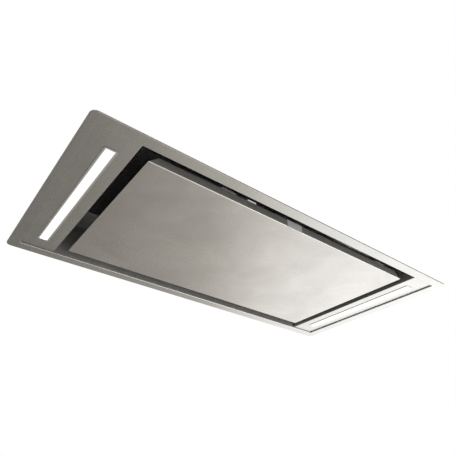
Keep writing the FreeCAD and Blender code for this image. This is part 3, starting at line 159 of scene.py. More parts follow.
class HoodDetailSizes(bpy.types.PropertyGroup):
    """Sizes of the lamps, nets and cabinet details."""

    lens_crown: length("Lens crown", "How far the opal lens bulges past its rim", 0.0006)
    rim_edge: length("Rim edge", "Rounding of a lens's rim", 0.0004)
    rim_steps: count("Rim steps", "Facets in that rounding", 4, 2)
    # The glow on a lens rim is painted light: emission on the rim, fading with distance from the window.
    painted_glow_reach: length("Glow reach", "How far a window's light creeps over its rim", 0.0045)
    soft_edge: length("Soft edge", "Width over which a lit window dims towards its edge", 0.0032)
    net_pitch: length("Net pitch", "Length of one diamond in the filter net", 0.014)
    net_strand: length("Net strand", "Width of a strand in the filter net", 0.0011)
    bead_width: length("Bead width", "Width of the pressed beads on the cabinet", 0.014)
    bead_rise: length("Bead rise", "How far a pressed bead stands out", 0.003)
    screw_facets: count("Screw facets", "Facets round a screw head", 24, 12)


class HoodColours(bpy.types.PropertyGroup):
    """Base colours of the finishes."""

    steel: vector("Steel", "Brushed stainless steel", (0.66, 0.655, 0.645), "COLOR")
    galvanised: vector("Galvanised", "Zinc-coated sheet", (0.41, 0.425, 0.44), "COLOR")
    aluminium: vector("Aluminium", "Mill aluminium", (0.72, 0.73, 0.74), "COLOR")
    zinc: vector("Zinc plate", "Plated screws and pins", (0.62, 0.63, 0.65), "COLOR")
    iron: vector("Iron", "Motor laminations", (0.32, 0.32, 0.33), "COLOR")
    black: vector("Black plastic", "Moulded black plastic", (0.025, 0.025, 0.027), "COLOR")
    grey: vector("Grey plastic", "Moulded grey plastic", (0.34, 0.345, 0.35), "COLOR")
    light: vector("Light plastic", "Moulded light plastic", (0.68, 0.68, 0.66), "COLOR")
    bumper: vector("Bumper", "The panel's light bumper", (0.9, 0.9, 0.88), "COLOR")
    can: vector("Capacitor can", "The motor capacitor's can", (0.62, 0.62, 0.60), "COLOR")
    opal: vector("Opal", "Lamp lens", (0.92, 0.92, 0.90), "COLOR")
    board: vector("Circuit board", "Solder mask", (0.03, 0.16, 0.08), "COLOR")


class HoodStage(bpy.types.PropertyGroup):
    """Camera, lamps and surroundings."""

    camera_place: vector(
        "Camera place", "Where the camera stands", (-0.6076, -0.7406, -0.5244), "TRANSLATION", unit="LENGTH")
    camera_aim: vector("Camera aim", "Direction of view", (0.5019, 0.6631, 0.5553), "DIRECTION")
    camera_up: vector("Camera up", "The picture's upward direction", (-0.3385, -0.4402, 0.8316), "DIRECTION")
    camera_lens: number("Lens", "Focal length for a 36 mm sensor, in millimetres", 34.39, 1.0)
    ceiling_gap: length("Ceiling gap", "Shadow gap between the frame and the ceiling", 0.0015)
    floor_level: length("Floor level", "Height of the floor", -2.2)
    card_level: length("Reflector level", "Height of the graded reflector under the hood", -1.0)
    card_dark: number("Reflector dark end", "What share of its light its outer dim end keeps", 0.72)
    card_bright: number("Reflector bright end", "Brightness of its bright end", 2.0)
    card_tint: vector("Reflector tint", "Colour of its dim end", (1.0, 0.955, 0.86), "COLOR")
    key_power: power("Key lamp", "Power of the main lamp above the ceiling line", 22.0)
    fill_power: power("Fill lamps", "Power of each weaker lamp", 18.0)


SETTING_GROUPS = {
    "hood_sheet": HoodSheetSizes,
    "hood_detail": HoodDetailSizes,
    "hood_colours": HoodColours,
    "hood_stage": HoodStage,
}


# ---------------------------------------------------------------- meshes

def sheet():
    """The sheet sizes now set."""
    return bpy.context.scene.hood_sheet


def detail():
    """The detail sizes now set."""
    return bpy.context.scene.hood_detail


def body_of(node):
    """The body that a node rides on."""
    return frame["nodes"][node]["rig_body"]


def stand(name, data):
    """Put a new object in the scene."""
    thing = bpy.data.objects.new(name, data)
    bpy.context.scene.collection.objects.link(thing)
    return thing


def stand_mesh(name, bm, material):
    """Turn a bmesh into an object with one material."""
    mesh = bpy.data.meshes.new(name)
    bm.to_mesh(mesh)
    bm.free()
    mesh.materials.append(material)
    return stand(name, mesh)


def settle(piece):
    """Work the piece's modifiers into its mesh."""
    graph = bpy.context.evaluated_depsgraph_get()
    graph.update()
    mesh = bpy.data.meshes.new_from_object(piece.evaluated_get(graph))
    old = piece.data
    piece.modifiers.clear()
    piece.data = mesh
    mesh.name = piece.name
    bpy.data.meshes.remove(old)


def finish_piece(name, bm, nodes, finish, thickness=0.0, edge=0.0, crease=SHEET_CREASE):
    """Turn a bmesh into a finished piece that stands for CAD nodes and rides with them."""
    piece = stand_mesh(name, bm, bpy.data.materials[finish])
    if thickness:
        solid = piece.modifiers.new("sheet", "SOLIDIFY")
        solid.thickness = thickness
        solid.offset = -1.0
        solid.use_even_offset = True
    if edge:
        broken = piece.modifiers.new("edges", "BEVEL")
        broken.width = edge
        broken.segments = 2
        broken.limit_method = "ANGLE"
        broken.angle_limit = EDGE_TURN
    settle(piece)
    piece.data.shade_smooth()
    piece.data.set_sharp_from_angle(angle=math.radians(crease))
    even = piece.modifiers.new("even shading", "WEIGHTED_NORMAL")
    even.keep_sharp = True
    settle(piece)
    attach(piece, body_of(nodes[0]))
    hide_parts(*nodes)
    return piece


def press(node, bm, finish):
    """A piece of the visible steel sheet, whose upright faces are brushed from top to bottom and take a
    warmer, partly non-metallic copy of the steel: painted warm light that makes them read lighter in the
    shade.
    """
    piece = finish_piece(node + "_pressing", bm, [node], finish, thickness=sheet().trim_sheet,
                         edge=sheet().edge)
    piece.data.materials.append(bpy.data.materials["steel_upright"])
    for face in piece.data.polygons:
        if abs(face.normal.z) < UPRIGHT_NORMAL:
            face.material_index = 1


def welded(node):
    """A node's mesh with its loose triangles joined."""
    bm = bmesh.new()
    bm.from_mesh(frame["nodes"][node].data)
    bmesh.ops.remove_doubles(bm, verts=bm.verts, dist=WELD)
    return bm


def dress_all(*rows):
    """Finish pieces in their own shape, from rows of (nodes, finish, width of the broken edges)."""
    for nodes, finish, edge in rows:
        for node in nodes.split():
            bm = welded(node)
            bmesh.ops.dissolve_limit(bm, angle_limit=FLAT_TURN, use_dissolve_boundaries=False, verts=bm.verts,
                                     edges=bm.edges, delimit={"NORMAL"})
            finish_piece(node + "_finished", bm, [node], finish, edge=edge, crease=SOLID_CREASE)
    return {"FINISHED"}


def rectangle(bm, width, depth, level, x=0.0, y=0.0):
    """One rectangular face; gives its corners."""
    place = Matrix.Translation((x, y, level)) @ Matrix.Diagonal((width, depth, 1, 1))
    return bmesh.ops.create_grid(bm, x_segments=1, y_segments=1, size=0.5, matrix=place)["verts"]


def ring(bm, half_x, half_y, corner, level, x=0.0, y=0.0):
    """A closed loop of edges: a rectangle with round corners."""
    rounded = bmesh.ops.bevel(
        bm, geom=rectangle(bm, 2 * half_x, 2 * half_y, level, x, y), offset=corner, offset_type="OFFSET",
        segments=sheet().corner_steps, profile=0.5, affect="VERTICES", material=-1)["verts"]
    face = rounded[0].link_faces[0]
    edges = list(face.edges)
    bmesh.ops.delete(bm, geom=[face], context="FACES_ONLY")
    return edges


def draw_out(bm, edges):
    """Extrude edges; gives the new corners and the new outer edges."""
    made = bmesh.ops.extrude_edge_only(bm, edges=edges)["geom"]
    verts = {item for item in made if isinstance(item, bmesh.types.BMVert)}
    outer = [item for item in made if isinstance(item, bmesh.types.BMEdge) and verts.issuperset(item.verts)]
    return verts, outer


def skin(bm, steps):
    """Draw a sheet through rounded rectangles, each (half_x, half_y, corner, level, x, y).

    Gives the edges of the first one and of the last one.
    """
    steps = [tuple(step) + (0.0,) * (6 - len(step)) for step in steps]
    first = edges = ring(bm, *steps[0])
    for old, new in zip(steps, steps[1:]):
        verts, edges = draw_out(bm, edges)
        for vert in verts:
            vert.co = reshaped(vert.co, old, new)
    return first, edges


def reshaped(place, old, new):
    """Where a point of one rounded rectangle lies on another."""
    way = Vector((math.copysign(1, place.x - old[4]), math.copysign(1, place.y - old[5])))
    moved = Vector((0, 0, new[3]))
    for axis in (0, 1):
        from_corner = place[axis] - old[4 + axis] - way[axis] * (old[axis] - old[2])
        moved[axis] = new[4 + axis] + way[axis] * (new[axis] - new[2]) + from_corner * new[2] / old[2]
    return moved


def close_ring(bm, edges):
    """Fill a loop with one face."""
    bmesh.ops.edgeloop_fill(bm, edges=edges)


def turn_faces(bm, faces, sign):
    """Make a sheet's visible side look up (1) or down (-1)."""
    bmesh.ops.recalc_face_normals(bm, faces=faces)
    if sum(face.calc_area() * face.normal.z for face in faces) * sign < 0:
        bmesh.ops.reverse_faces(bm, faces=faces)


def face_out(bm):
    """Make a closed shape's faces look outwards."""
    bmesh.ops.recalc_face_normals(bm, faces=bm.faces)
    if bm.calc_volume(signed=True) < 0:
        bmesh.ops.reverse_faces(bm, faces=bm.faces)


def quarter(steps):
    """The angles of a quarter turn's steps."""
    return [math.pi / 2 * step / steps for step in range(steps + 1)]


def fold(radius, steps):
    """How far each step of a quarter bend lies in from its side and up from its flat."""
    return [(radius * (1 - math.cos(angle)), radius * (1 - math.sin(angle))) for angle in quarter(steps)]


def fold_up(bm, edge, outward, radius, height, slant=0.0):
    """Fold a straight edge of a flat sheet upwards; slant leans the folded wall's ends in."""
    start = (edge.verts[0].co + edge.verts[1].co) / 2
    along = (edge.verts[1].co - edge.verts[0].co).normalized()
    half = edge.calc_length() / 2
    path = [(radius * math.sin(angle), radius * (1 - math.cos(angle)))
            for angle in quarter(sheet().bend_steps)[1:]]
    edges = [edge]
    for out, rise in (*path, (radius, height)):
        verts, edges = draw_out(bm, edges)
        reach = half - slant * rise / height
        for vert in verts:
            sign = 1 if (vert.co - start).dot(along) > 0 else -1
            vert.co = start + along * (sign * reach) + outward * out + UP * rise


def grow(bm, face, move, scale=1.0):
    """Extrude a face, shift it and scale it about its middle."""
    made = bmesh.ops.extrude_face_region(bm, geom=[face])["geom"]
    verts = [item for item in made if isinstance(item, bmesh.types.BMVert)]
    top = next(item for item in made if isinstance(item, bmesh.types.BMFace))
    if face.is_valid:
        bmesh.ops.delete(bm, geom=[face], context="FACES_ONLY")
    bmesh.ops.translate(bm, verts=verts, vec=move)
    middle = top.calc_center_median()
    bmesh.ops.scale(bm, verts=verts, vec=(scale, scale, scale), space=Matrix.Translation(-middle))
    return top


def islands(node):
    """The corners of each separate solid in a node."""
    bm = welded(node)
    left = set(bm.verts)
    solids = []
    while left:
        reached = {left.pop()}
        waiting = list(reached)
        while waiting:
            vert = waiting.pop()
            for edge in vert.link_edges:
                other = edge.other_vert(vert)
                if other not in reached:
                    reached.add(other)
                    waiting.append(other)
        left -= reached
        solids.append([vert.co.copy() for vert in reached])
    bm.free()
    return solids


# ---------------------------------------------------------------- finishes

def new_group(name, inputs, *outputs):
    """An empty node group that takes a place and some settings with defaults, and gives values."""
    group = bpy.data.node_groups.new(name, "ShaderNodeTree")
    group.interface.new_socket(name="Vector", in_out="INPUT", socket_type="NodeSocketVector")
    for label, value in inputs.items():
        kind = "NodeSocketVector" if isinstance(value, tuple) else "NodeSocketFloat"
        group.interface.new_socket(name=label, in_out="INPUT", socket_type=kind).default_value = value
    for label in outputs:
        group.interface.new_socket(name=label, in_out="OUTPUT", socket_type="NodeSocketFloat")
    return group, group.nodes.new("NodeGroupInput").outputs, group.nodes.new("NodeGroupOutput").inputs


def add_node(tree, kind, inputs=None, **settings):
    """A node with its settings, and its inputs either set or linked."""
    node = tree.nodes.new("ShaderNode" + kind)
    for label, value in settings.items():
        setattr(node, label, value)
    for label, value in (inputs or {}).items():
        if isinstance(value, bpy.types.NodeSocket):
            tree.links.new(value, node.inputs[label])
        else:
            node.inputs[label].default_value = value
    return node


def stretch(tree, value, low, high, to_low=0.0, to_high=1.0):
    """A value spread from one range to another."""
    inputs = {"Value": value, "From Min": low, "From Max": high, "To Min": to_low, "To Max": to_high}
    return add_node(tree, "MapRange", inputs).outputs["Result"]


def combine(tree, operation, first, second):
    """A sum, product or other pairing of two values."""
    return add_node(tree, "Math", {0: first, 1: second}, operation=operation).outputs[0]


def combine_vectors(tree, operation, *vectors, output="Vector"):
    """A sum, product, length or other outcome of one or two vectors."""
    return add_node(tree, "VectorMath", dict(enumerate(vectors)), operation=operation).outputs[output]


def blend_colours(tree, mask, first, second):
    """Two colours mixed by a mask."""
    return add_node(tree, "Mix", {0: mask, 6: (*first, 1.0), 7: (*second, 1.0)}, data_type="RGBA").outputs[2]


def own_place(tree):
    """The object's own coordinates."""
    return add_node(tree, "TexCoord").outputs["Object"]


def noise(tree, place, scale, detail_level, **more):
    """Noise between 0 and 1."""
    inputs = {"Vector": place, "Scale": scale, "Detail": detail_level, **more}
    return add_node(tree, "TexNoise", inputs).outputs["Fac"]


def grain_group():
    """Brush lines along one axis, with wider streaks and soft clouds."""
    group, given, out = new_group(
        "brushed_grain", {"Lines": (900.0, 16.0, 900.0), "Streaks": (130.0, 4.0, 130.0), "Clouds": 9.0},
        "Line", "Streak", "Cloud")
    for label, scale, detail_level in (("Line", "Lines", 2.0), ("Streak", "Streaks", 3.0)):
        spread = combine_vectors(group, "MULTIPLY", given["Vector"], given[scale])
        fine = noise(group, spread, 1.0, detail_level, Roughness=0.6)
        group.links.new(stretch(group, fine, 0.25, 0.75), out[label])
    cloud = noise(group, given["Vector"], given["Clouds"], 4.0, Roughness=0.55, Distortion=0.6)
    group.links.new(stretch(group, cloud, 0.3, 0.7), out["Cloud"])
    return group


def smudge_group():
    """Faint handling marks: broad patches broken up by small ones."""
    group, given, out = new_group("smudges", {"Size": 6.0}, "Smudge")
    broad = noise(group, given["Vector"], given["Size"], 3.0, Distortion=1.2)
    small = noise(group, given["Vector"], 70.0, 4.0)
    both = combine(group, "MULTIPLY", stretch(group, broad, 0.45, 0.7), stretch(group, small, 0.3, 0.7))
    group.links.new(both, out["Smudge"])
    return group


def spangle_group():
    """The crystal flakes of zinc-coated sheet: a shade and a height for each flake."""
    group, given, out = new_group("zinc_spangle", {"Flakes": 75.0}, "Shade", "Height")
    warp = add_node(group, "TexNoise", {"Vector": given["Vector"], "Scale": 40.0, "Detail": 2.0})
    shifted = combine_vectors(group, "MULTIPLY", warp.outputs["Color"], (0.02, 0.02, 0.02))
    place = combine_vectors(group, "ADD", given["Vector"], shifted)
    flakes = add_node(group, "TexVoronoi", {"Vector": place, "Scale": given["Flakes"]})
    split = add_node(group, "SeparateColor", {"Color": flakes.outputs["Color"]})
    group.links.new(split.outputs["Red"], out["Shade"])
    group.links.new(flakes.outputs["Distance"], out["Height"])
    return group


def grit_group():
    """The fine skin of moulded plastic and cast or stoved surfaces."""
    group, given, out = new_group("moulded_skin", {"Grain": 900.0}, "Height", "Patch")
    group.links.new(noise(group, given["Vector"], given["Grain"], 2.0), out["Height"])
    patch = noise(group, given["Vector"], 14.0, 3.0)
    group.links.new(stretch(group, patch, 0.3, 0.7), out["Patch"])
    return group


def window_group():
    """Light that changes between two distances from the edge of the nearer lamp's window."""
    group, given, out = new_group(
        "window_glow", {"Middle": (0.4, 0.0, 0.0), "Half Width": 0.01, "Half Length": 0.18, "From": 0.0,
                        "To": 0.001, "At From": 1.0, "At To": 0.0, "Power": 1.0}, "Glow")
    mirrored = combine_vectors(group, "ABSOLUTE", given["Vector"])
    offset = combine_vectors(group, "SUBTRACT", mirrored, given["Middle"])
    across = add_node(group, "SeparateXYZ", {0: combine_vectors(group, "ABSOLUTE", offset)}).outputs
    beyond = combine(group, "MAXIMUM", combine(group, "SUBTRACT", across["X"], given["Half Width"]),
                     combine(group, "SUBTRACT", across["Y"], given["Half Length"]))
    level = stretch(group, beyond, given["From"], given["To"], given["At From"], given["At To"])
    group.links.new(combine(group, "POWER", level, given["Power"]), out["Glow"])
    return group


GROUP_MAKERS = {
    "brushed_grain": grain_group,
    "smudges": smudge_group,
    "zinc_spangle": spangle_group,
    "moulded_skin": grit_group,
    "window_glow": window_group,
}


def place_group(tree, name, inputs):
    """One of the shared groups, placed in a material."""
    group = bpy.data.node_groups.get(name) or GROUP_MAKERS[name]()
    return add_node(tree, "Group", inputs, node_tree=group).outputs


def spaced(labels):
    """Keyword names turned into socket names."""
    return {label.replace("_", " "): value for label, value in labels.items()}


def new_finish(name, **constants):
    """A Principled material; gives the material, its tree, its shader and the object's own coordinates."""
    finish = bpy.data.materials.new(name)
    finish.use_nodes = True
    tree = finish.node_tree
    shader = tree.nodes["Principled BSDF"]
    for label, value in spaced(constants).items():
        shader.inputs[label].default_value = value
    return finish, tree, shader, own_place(tree)


def feed(tree, shader, **sockets):
    """Link sockets to a shader's inputs."""
    for label, socket in spaced(sockets).items():
        tree.links.new(socket, shader.inputs[label])


def bump(tree, shader, height, strength, distance):
    """Relief from a height."""
    node = add_node(tree, "Bump", {"Height": height, "Strength": strength, "Distance": distance})
    feed(tree, shader, Normal=node.outputs["Normal"])


def shade(colour, factor):
    """A colour made darker or lighter."""
    return tuple(min(1.0, part * factor) for part in colour)


def brushed_steel(name, colour, roughness, along="y", contrast=0.05, cloud=0.05, relief=0.00004, metallic=1.0,
                  wear=0.07):
    """Stainless steel brushed along one axis, with soft clouds and faint handling marks."""
    finish, tree, shader, place = new_finish(name, Metallic=metallic)
    lines, streaks = [900.0] * 3, [130.0] * 3
    lines["xyz".index(along)], streaks["xyz".index(along)] = 16.0, 4.0
    grain = place_group(tree, "brushed_grain", {"Vector": place, "Lines": lines, "Streaks": streaks})
    marks = place_group(tree, "smudges", {"Vector": place})
    streak = combine(tree, "ADD", combine(tree, "MULTIPLY", grain["Line"], 0.45),
                     combine(tree, "MULTIPLY", grain["Streak"], 0.55))
    spread = contrast + cloud
    tone = combine(tree, "ADD", combine(tree, "MULTIPLY", streak, contrast / spread),
                   combine(tree, "MULTIPLY", grain["Cloud"], cloud / spread))
    worn = stretch(tree, grain["Streak"], 0, 1, roughness - wear / 2, roughness + wear / 2)
    rough = combine(tree, "ADD", worn, combine(tree, "MULTIPLY", marks["Smudge"], 0.05))
    feed(tree, shader, Roughness=rough,
         Base_Color=blend_colours(tree, tone, shade(colour, 1 - spread), shade(colour, 1 + spread)))
    bump(tree, shader, streak, 0.25, relief)
    return finish


def light_window(tree, shader, colour, **levels):
    """Give a finish the glow of a lamp's window: the lens's own light, or a painted glow on the rim beside
    it.
    """
    low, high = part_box("lamp_lens_right")
    glow = place_group(tree, "window_glow", {
        "Vector": own_place(tree), "Middle": ((low.x + high.x) / 2, 0, 0),
        "Half Width": sheet().lens_width / 2, "Half Length": sheet().lens_length / 2, **spaced(levels)})
    feed(tree, shader, Emission_Color=blend_colours(tree, glow["Glow"], (0, 0, 0), colour))


def lamp_rim(name, colour):
    """The silvered rim of a lens, with a painted glow: emission that fades out over the rim from the window's
    edge.
    """
    tree = brushed_steel(name, colour, 0.3, "y", contrast=0.02, cloud=0.02).node_tree
    shader = tree.nodes["Principled BSDF"]
    # Painted glow: the rim emits near the window as if the window lit it.
    light_window(tree, shader, (0.2, 0.195, 0.188), From=0.0, To=detail().painted_glow_reach, Power=1.6)
    shader.inputs["Emission Strength"].default_value = 1.0


def galvanised_sheet(name, colour, flakes=75.0):
    """Zinc-coated sheet with its flakes."""
    _, tree, shader, place = new_finish(name, Metallic=1.0)
    flake = place_group(tree, "zinc_spangle", {"Vector": place, "Flakes": flakes})
    marks = place_group(tree, "smudges", {"Vector": place, "Size": 4.0})
    rough = combine(tree, "ADD", stretch(tree, flake["Shade"], 0, 1, 0.34, 0.5),
                    combine(tree, "MULTIPLY", marks["Smudge"], 0.12))
    feed(tree, shader, Roughness=rough,
         Base_Color=blend_colours(tree, flake["Shade"], shade(colour, 0.74), shade(colour, 1.24)))
    bump(tree, shader, flake["Height"], 0.15, 0.0002)


def plain_metal(name, colour, roughness, turned=False):
    """Mill, plated or spring metal: faint lines and patches."""
    _, tree, shader, place = new_finish(name, Metallic=1.0)
    lines = (60.0, 60.0, 1400.0) if turned else (500.0, 30.0, 500.0)
    grain = place_group(tree, "brushed_grain", {"Vector": place, "Lines": lines, "Clouds": 30.0})
    feed(tree, shader, Roughness=stretch(tree, grain["Line"], 0, 1, roughness - 0.05, roughness + 0.07),
         Base_Color=blend_colours(tree, grain["Cloud"], shade(colour, 0.88), shade(colour, 1.1)))
    bump(tree, shader, grain["Line"], 0.15, 0.00004)


def moulded_plastic(name, colour, roughness, grain=900.0, relief=0.00006, specular=0.5, **constants):
    """Moulded plastic, rubber, foam or paint: a fine skin with slight patches."""
    _, tree, shader, place = new_finish(name, Metallic=0.0, Specular_IOR_Level=specular, **constants)
    skin_marks = place_group(tree, "moulded_skin", {"Vector": place, "Grain": grain})
    patch = skin_marks["Patch"]
    feed(tree, shader, Roughness=stretch(tree, patch, 0, 1, roughness - 0.05, roughness + 0.06),
         Base_Color=blend_colours(tree, patch, shade(colour, 0.85), shade(colour, 1.2)))
    bump(tree, shader, skin_marks["Height"], 0.35, relief)


def lit_opal(name, colour):
    """The lit opal lens: even along its middle, softer towards its edges."""
    _, tree, shader, place = new_finish(name, Roughness=0.32, Emission_Strength=1.6)
    skin_marks = place_group(tree, "moulded_skin", {"Vector": place, "Grain": 500.0})
    feed(tree, shader, Base_Color=blend_colours(tree, skin_marks["Patch"], shade(colour, 0.97), colour))
    light_window(tree, shader, (1.0, 0.99, 0.965), From=-detail().soft_edge, To=0.0, At_To=0.12)
    bump(tree, shader, skin_marks["Height"], 0.1, 0.00003)


def laminations(name, colour):
    """Stacked iron laminations, seen as fine lines square to the shaft."""
    _, tree, shader, place = new_finish(name, Metallic=1.0)
    bands = add_node(tree, "TexWave", {"Vector": place, "Scale": 160.0, "Distortion": 0.4},
                     bands_direction="X").outputs["Fac"]
    feed(tree, shader, Roughness=stretch(tree, bands, 0, 1, 0.6, 0.42),
         Base_Color=blend_colours(tree, bands, shade(colour, 0.6), shade(colour, 1.2)))
    bump(tree, shader, bands, 0.4, 0.0002)


def circuit_board(name, colour):
    """Solder mask over copper tracks."""
    _, tree, shader, place = new_finish(name, Metallic=0.0)
    tracks = add_node(tree, "TexVoronoi", {"Vector": place, "Scale": 130.0}, distance="MANHATTAN",
                      feature="DISTANCE_TO_EDGE")
    line = stretch(tree, tracks.outputs["Distance"], 0.03, 0.05)
    feed(tree, shader, Roughness=stretch(tree, line, 0, 1, 0.3, 0.42),
         Base_Color=blend_colours(tree, line, shade(colour, 1.9), colour))
    bump(tree, shader, line, 0.2, 0.00005)


def make_finishes():
    """Every finish of the hood, by name."""
    chosen = bpy.context.scene.hood_colours
    colours = {key: tuple(getattr(chosen, key)) for key in HoodColours.__annotations__}
    steel, galvanised, aluminium, black = map(colours.get, ("steel", "galvanised", "aluminium", "black"))
    red, green, blue = steel
    brushed_steel("steel_frame", steel, 0.26)
    brushed_steel("steel_panel", (red, green * 0.98, blue * 0.975), 0.26, contrast=0.012, cloud=0.075,
                  relief=0.000004, wear=0.03)
    # Painted light: the upright faces' copy of the steel is tinted warmer and less metallic so that it reads
    # lighter in the shade.
    brushed_steel("steel_upright", (red, green * 0.98, blue * 0.93), 0.36, "z", contrast=0.04, relief=0.00002,
                  metallic=0.7)
    # Painted light: the grip plate and strikers take a near-white, barely metallic copy of the steel so that
    # they read bright in the shaded gap.
    brushed_steel("satin_plate", shade(steel, 1.3), 0.4, "x", contrast=0.03, relief=0.00002, metallic=0.1)
    lamp_rim("silvered_rim", shade(steel, 1.05))
    galvanised_sheet("galvanised", galvanised)
    galvanised_sheet("galvanised_small", galvanised, flakes=160.0)
    plain_metal("mill_aluminium", aluminium, 0.38)
    # Painted shade: the filter nets' aluminium is darkened to 45 per cent so that they read black in the
    # unlit plenum.
    plain_metal("oiled_net", shade(aluminium, 0.45), 0.5)
    plain_metal("zinc_plate", colours["zinc"], 0.28, turned=True)
    plain_metal("spring_steel", shade(steel, 0.9), 0.25)
    plain_metal("ground_steel", shade(steel, 1.05), 0.18, turned=True)
    laminations("iron_stack", colours["iron"])
    moulded_plastic("black_plastic", black, 0.42)
    moulded_plastic("grey_plastic", colours["grey"], 0.45)
    moulded_plastic("light_plastic", colours["light"], 0.38)
    # Painted glow: the bumper emits faintly so that it reads bright in the shaded gap.
    moulded_plastic("bumper_plastic", colours["bumper"], 0.38, Emission_Color=(1, 0.99, 0.97, 1),
                    Emission_Strength=0.25)
    moulded_plastic("motor_paint", shade(black, 1.6), 0.32, grain=400.0)
    moulded_plastic("soft_rubber", shade(black, 0.8), 0.7, grain=600.0)
    moulded_plastic("foam_strip", shade(black, 1.3), 0.95, grain=350.0, relief=0.0004, specular=0.2)
    moulded_plastic("capacitor_can", colours["can"], 0.3)
    lit_opal("lit_opal", colours["opal"])
    circuit_board("circuit_board", colours["board"])


# ---------------------------------------------------------------- pieces

class HoodTrimFrame(bpy.types.Operator):
    """Build the trim frame: turned-up rim, flat flange and the plenum's walls"""

    bl_idname = "hood.trim_frame"
    bl_label = "Trim frame"

    def execute(self, context):
        sizes = sheet()
        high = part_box("trim_frame")[1]
        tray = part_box("light_plate_right")[1]
        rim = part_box("ceiling_seal")[1].z
        half_x, half_y = tray.x + sizes.play, tray.y + sizes.play
        steps = [(high.x, high.y, sizes.frame_corner, rim)]
        for inset, rise in fold(sizes.bend, sizes.bend_steps):
            steps.append((high.x - inset, high.y - inset, sizes.frame_corner - inset, rise))
        for out, rise in reversed(fold(sizes.opening_bend, sizes.bend_steps)):
            steps.append((half_x + out * sizes.end_bend_share, half_y + out, sizes.tray_corner + out, rise))
        steps.append((half_x, half_y, sizes.tray_corner, high.z))
        bm = bmesh.new()
        skin(bm, steps)
        turn_faces(bm, bm.faces, -1)
        press("trim_frame", bm, "steel_frame")
        return dress_all(("ceiling_seal", "foam_strip", 0.0006))


class HoodLightPlates(bpy.types.Operator):
    """Build the two end plates with their lamp slots and folded sides"""

    bl_idname = "hood.light_plates"
    bl_label = "Light plates"

    def execute(self, context):
        for word, side in zip(SIDES, (-1, 1)):
            self.build(word, side)
        return {"FINISHED"}

    def build(self, word, side):
        """A flat plate round the lamp's slot, with a wall towards the opening and three low folds."""
        sizes = sheet()
        bend = sizes.inner_bend
        low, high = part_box("light_plate_" + word)
        middle, half_x, half_y = (low.x + high.x) / 2, (high.x - low.x) / 2, high.y
        lens_at = sum(corner.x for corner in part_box("lamp_lens_" + word)) / 2
        bm = bmesh.new()
        outline = skin(bm, [
            (half_x - bend, half_y - bend, sizes.plate_corner, low.z, middle),
            (sizes.lens_width / 2, sizes.lens_length / 2, bend, low.z, lens_at),
        ])[0]
        tops = (
            (Vector((-side, 0, 0)), high.z),
            (Vector((side, 0, 0)), low.z + sizes.end_fold),
            (Vector((0, -1, 0)), low.z + sizes.side_fold),
            (Vector((0, 1, 0)), low.z + sizes.side_fold),
        )
        for edge in sorted(outline, key=lambda edge: -edge.calc_length())[:len(tops)]:
            centre = (edge.verts[0].co + edge.verts[1].co) / 2 - Vector((middle, 0, low.z))
            across = Vector((centre.x / half_x, centre.y / half_y, 0))
            outward, top = max(tops, key=lambda row: row[0].dot(across))
            fold_up(bm, edge, outward, bend, top - low.z)
        turn_faces(bm, bm.faces, -1)
        press(f"light_plate_{word}", bm, "steel_frame")


class HoodLamps(bpy.types.Operator):
    """Build the opal lenses and finish the channels and diode boards behind them"""

    bl_idname = "hood.lamps"
    bl_label = "Lamps"

    def execute(self, context):
        for word in SIDES:
            self.lens(word)
            dress_all((f"lamp_channel_{word}", "mill_aluminium", 0.0003),
                      (f"lamp_board_{word}", "circuit_board", 0.0001))
        return {"FINISHED"}

    def lens(self, word):
        """The nose in the plate's slot, the rim under the plate and the crowned window."""
        sizes = sheet()
        low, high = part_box("lamp_lens_" + word)
        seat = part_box("light_plate_" + word)[0].z
        at, rim_x, rim_y = (low.x + high.x) / 2, (high.x - low.x) / 2, high.y
        nose_x = sizes.lens_width / 2 - sizes.lens_play
        nose_y = sizes.lens_length / 2 - sizes.lens_play
        small = sizes.inner_bend
        steps = [(nose_x, nose_y, small, high.z, at), (nose_x, nose_y, small, seat, at),
                 (rim_x, rim_y, sizes.lens_corner, seat, at)]
        for inset, rise in fold(detail().rim_edge, detail().rim_steps):
            steps.append((rim_x - inset, rim_y - inset, sizes.lens_corner - inset, low.z + rise, at))
        steps.append((nose_x, nose_y, small, low.z, at))
        for share in CROWN_SHARES:
            inset = nose_x * share
            bulge = detail().lens_crown * (1 - (1 - share) ** 4)
            steps.append((nose_x - inset, nose_y - inset, small * (1 - share), low.z - bulge, at))
        bm = bmesh.new()
        for edges in skin(bm, steps):
            close_ring(bm, edges)
        face_out(bm)
        lens = finish_piece(f"lamp_lens_{word}_moulding", bm, [f"lamp_lens_{word}"], "lit_opal")
        # The rim faces take the silvered finish with its painted glow.
        lens.data.materials.append(bpy.data.materials["silvered_rim"])
        for face in lens.data.polygons:
            beyond = max(abs(face.center.x - at) - nose_x, abs(face.center.y) - nose_y)
            if face.center.z < seat + LEVEL_PLAY and beyond > 0:
                face.material_index = 1


class HoodSuctionPanel(bpy.types.Operator):
    """Build the drop-down panel with its tall folded sides, and its liner, strikers, bumper and grip plate"""

    bl_idname = "hood.suction_panel"
    bl_label = "Suction panel"

    def execute(self, context):
        sizes = sheet()
        low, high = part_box("suction_panel")
        bm = bmesh.new()
        rectangle(bm, high.x - low.x, high.y - low.y - 2 * sizes.panel_bend, low.z)
        for edge in [edge for edge in bm.edges if abs(edge.verts[0].co.y - edge.verts[1].co.y) < WELD]:
            side = 1 if edge.verts[0].co.y > 0 else -1
            fold_up(bm, edge, Vector((0, side, 0)), sizes.panel_bend, high.z - low.z, sizes.panel_slant)
        turn_faces(bm, bm.faces, -1)
        press("suction_panel", bm, "steel_panel")
        return dress_all(
            ("panel_liner", "mill_aluminium", 0.0008),
            ("panel_grip_plate", "satin_plate", 0.0002),
            ("panel_bumper", "bumper_plastic", 0.0008),
            ("panel_strikers", "satin_plate", 0.0002),
            ("catch_clips", "spring_steel", 0.0002))


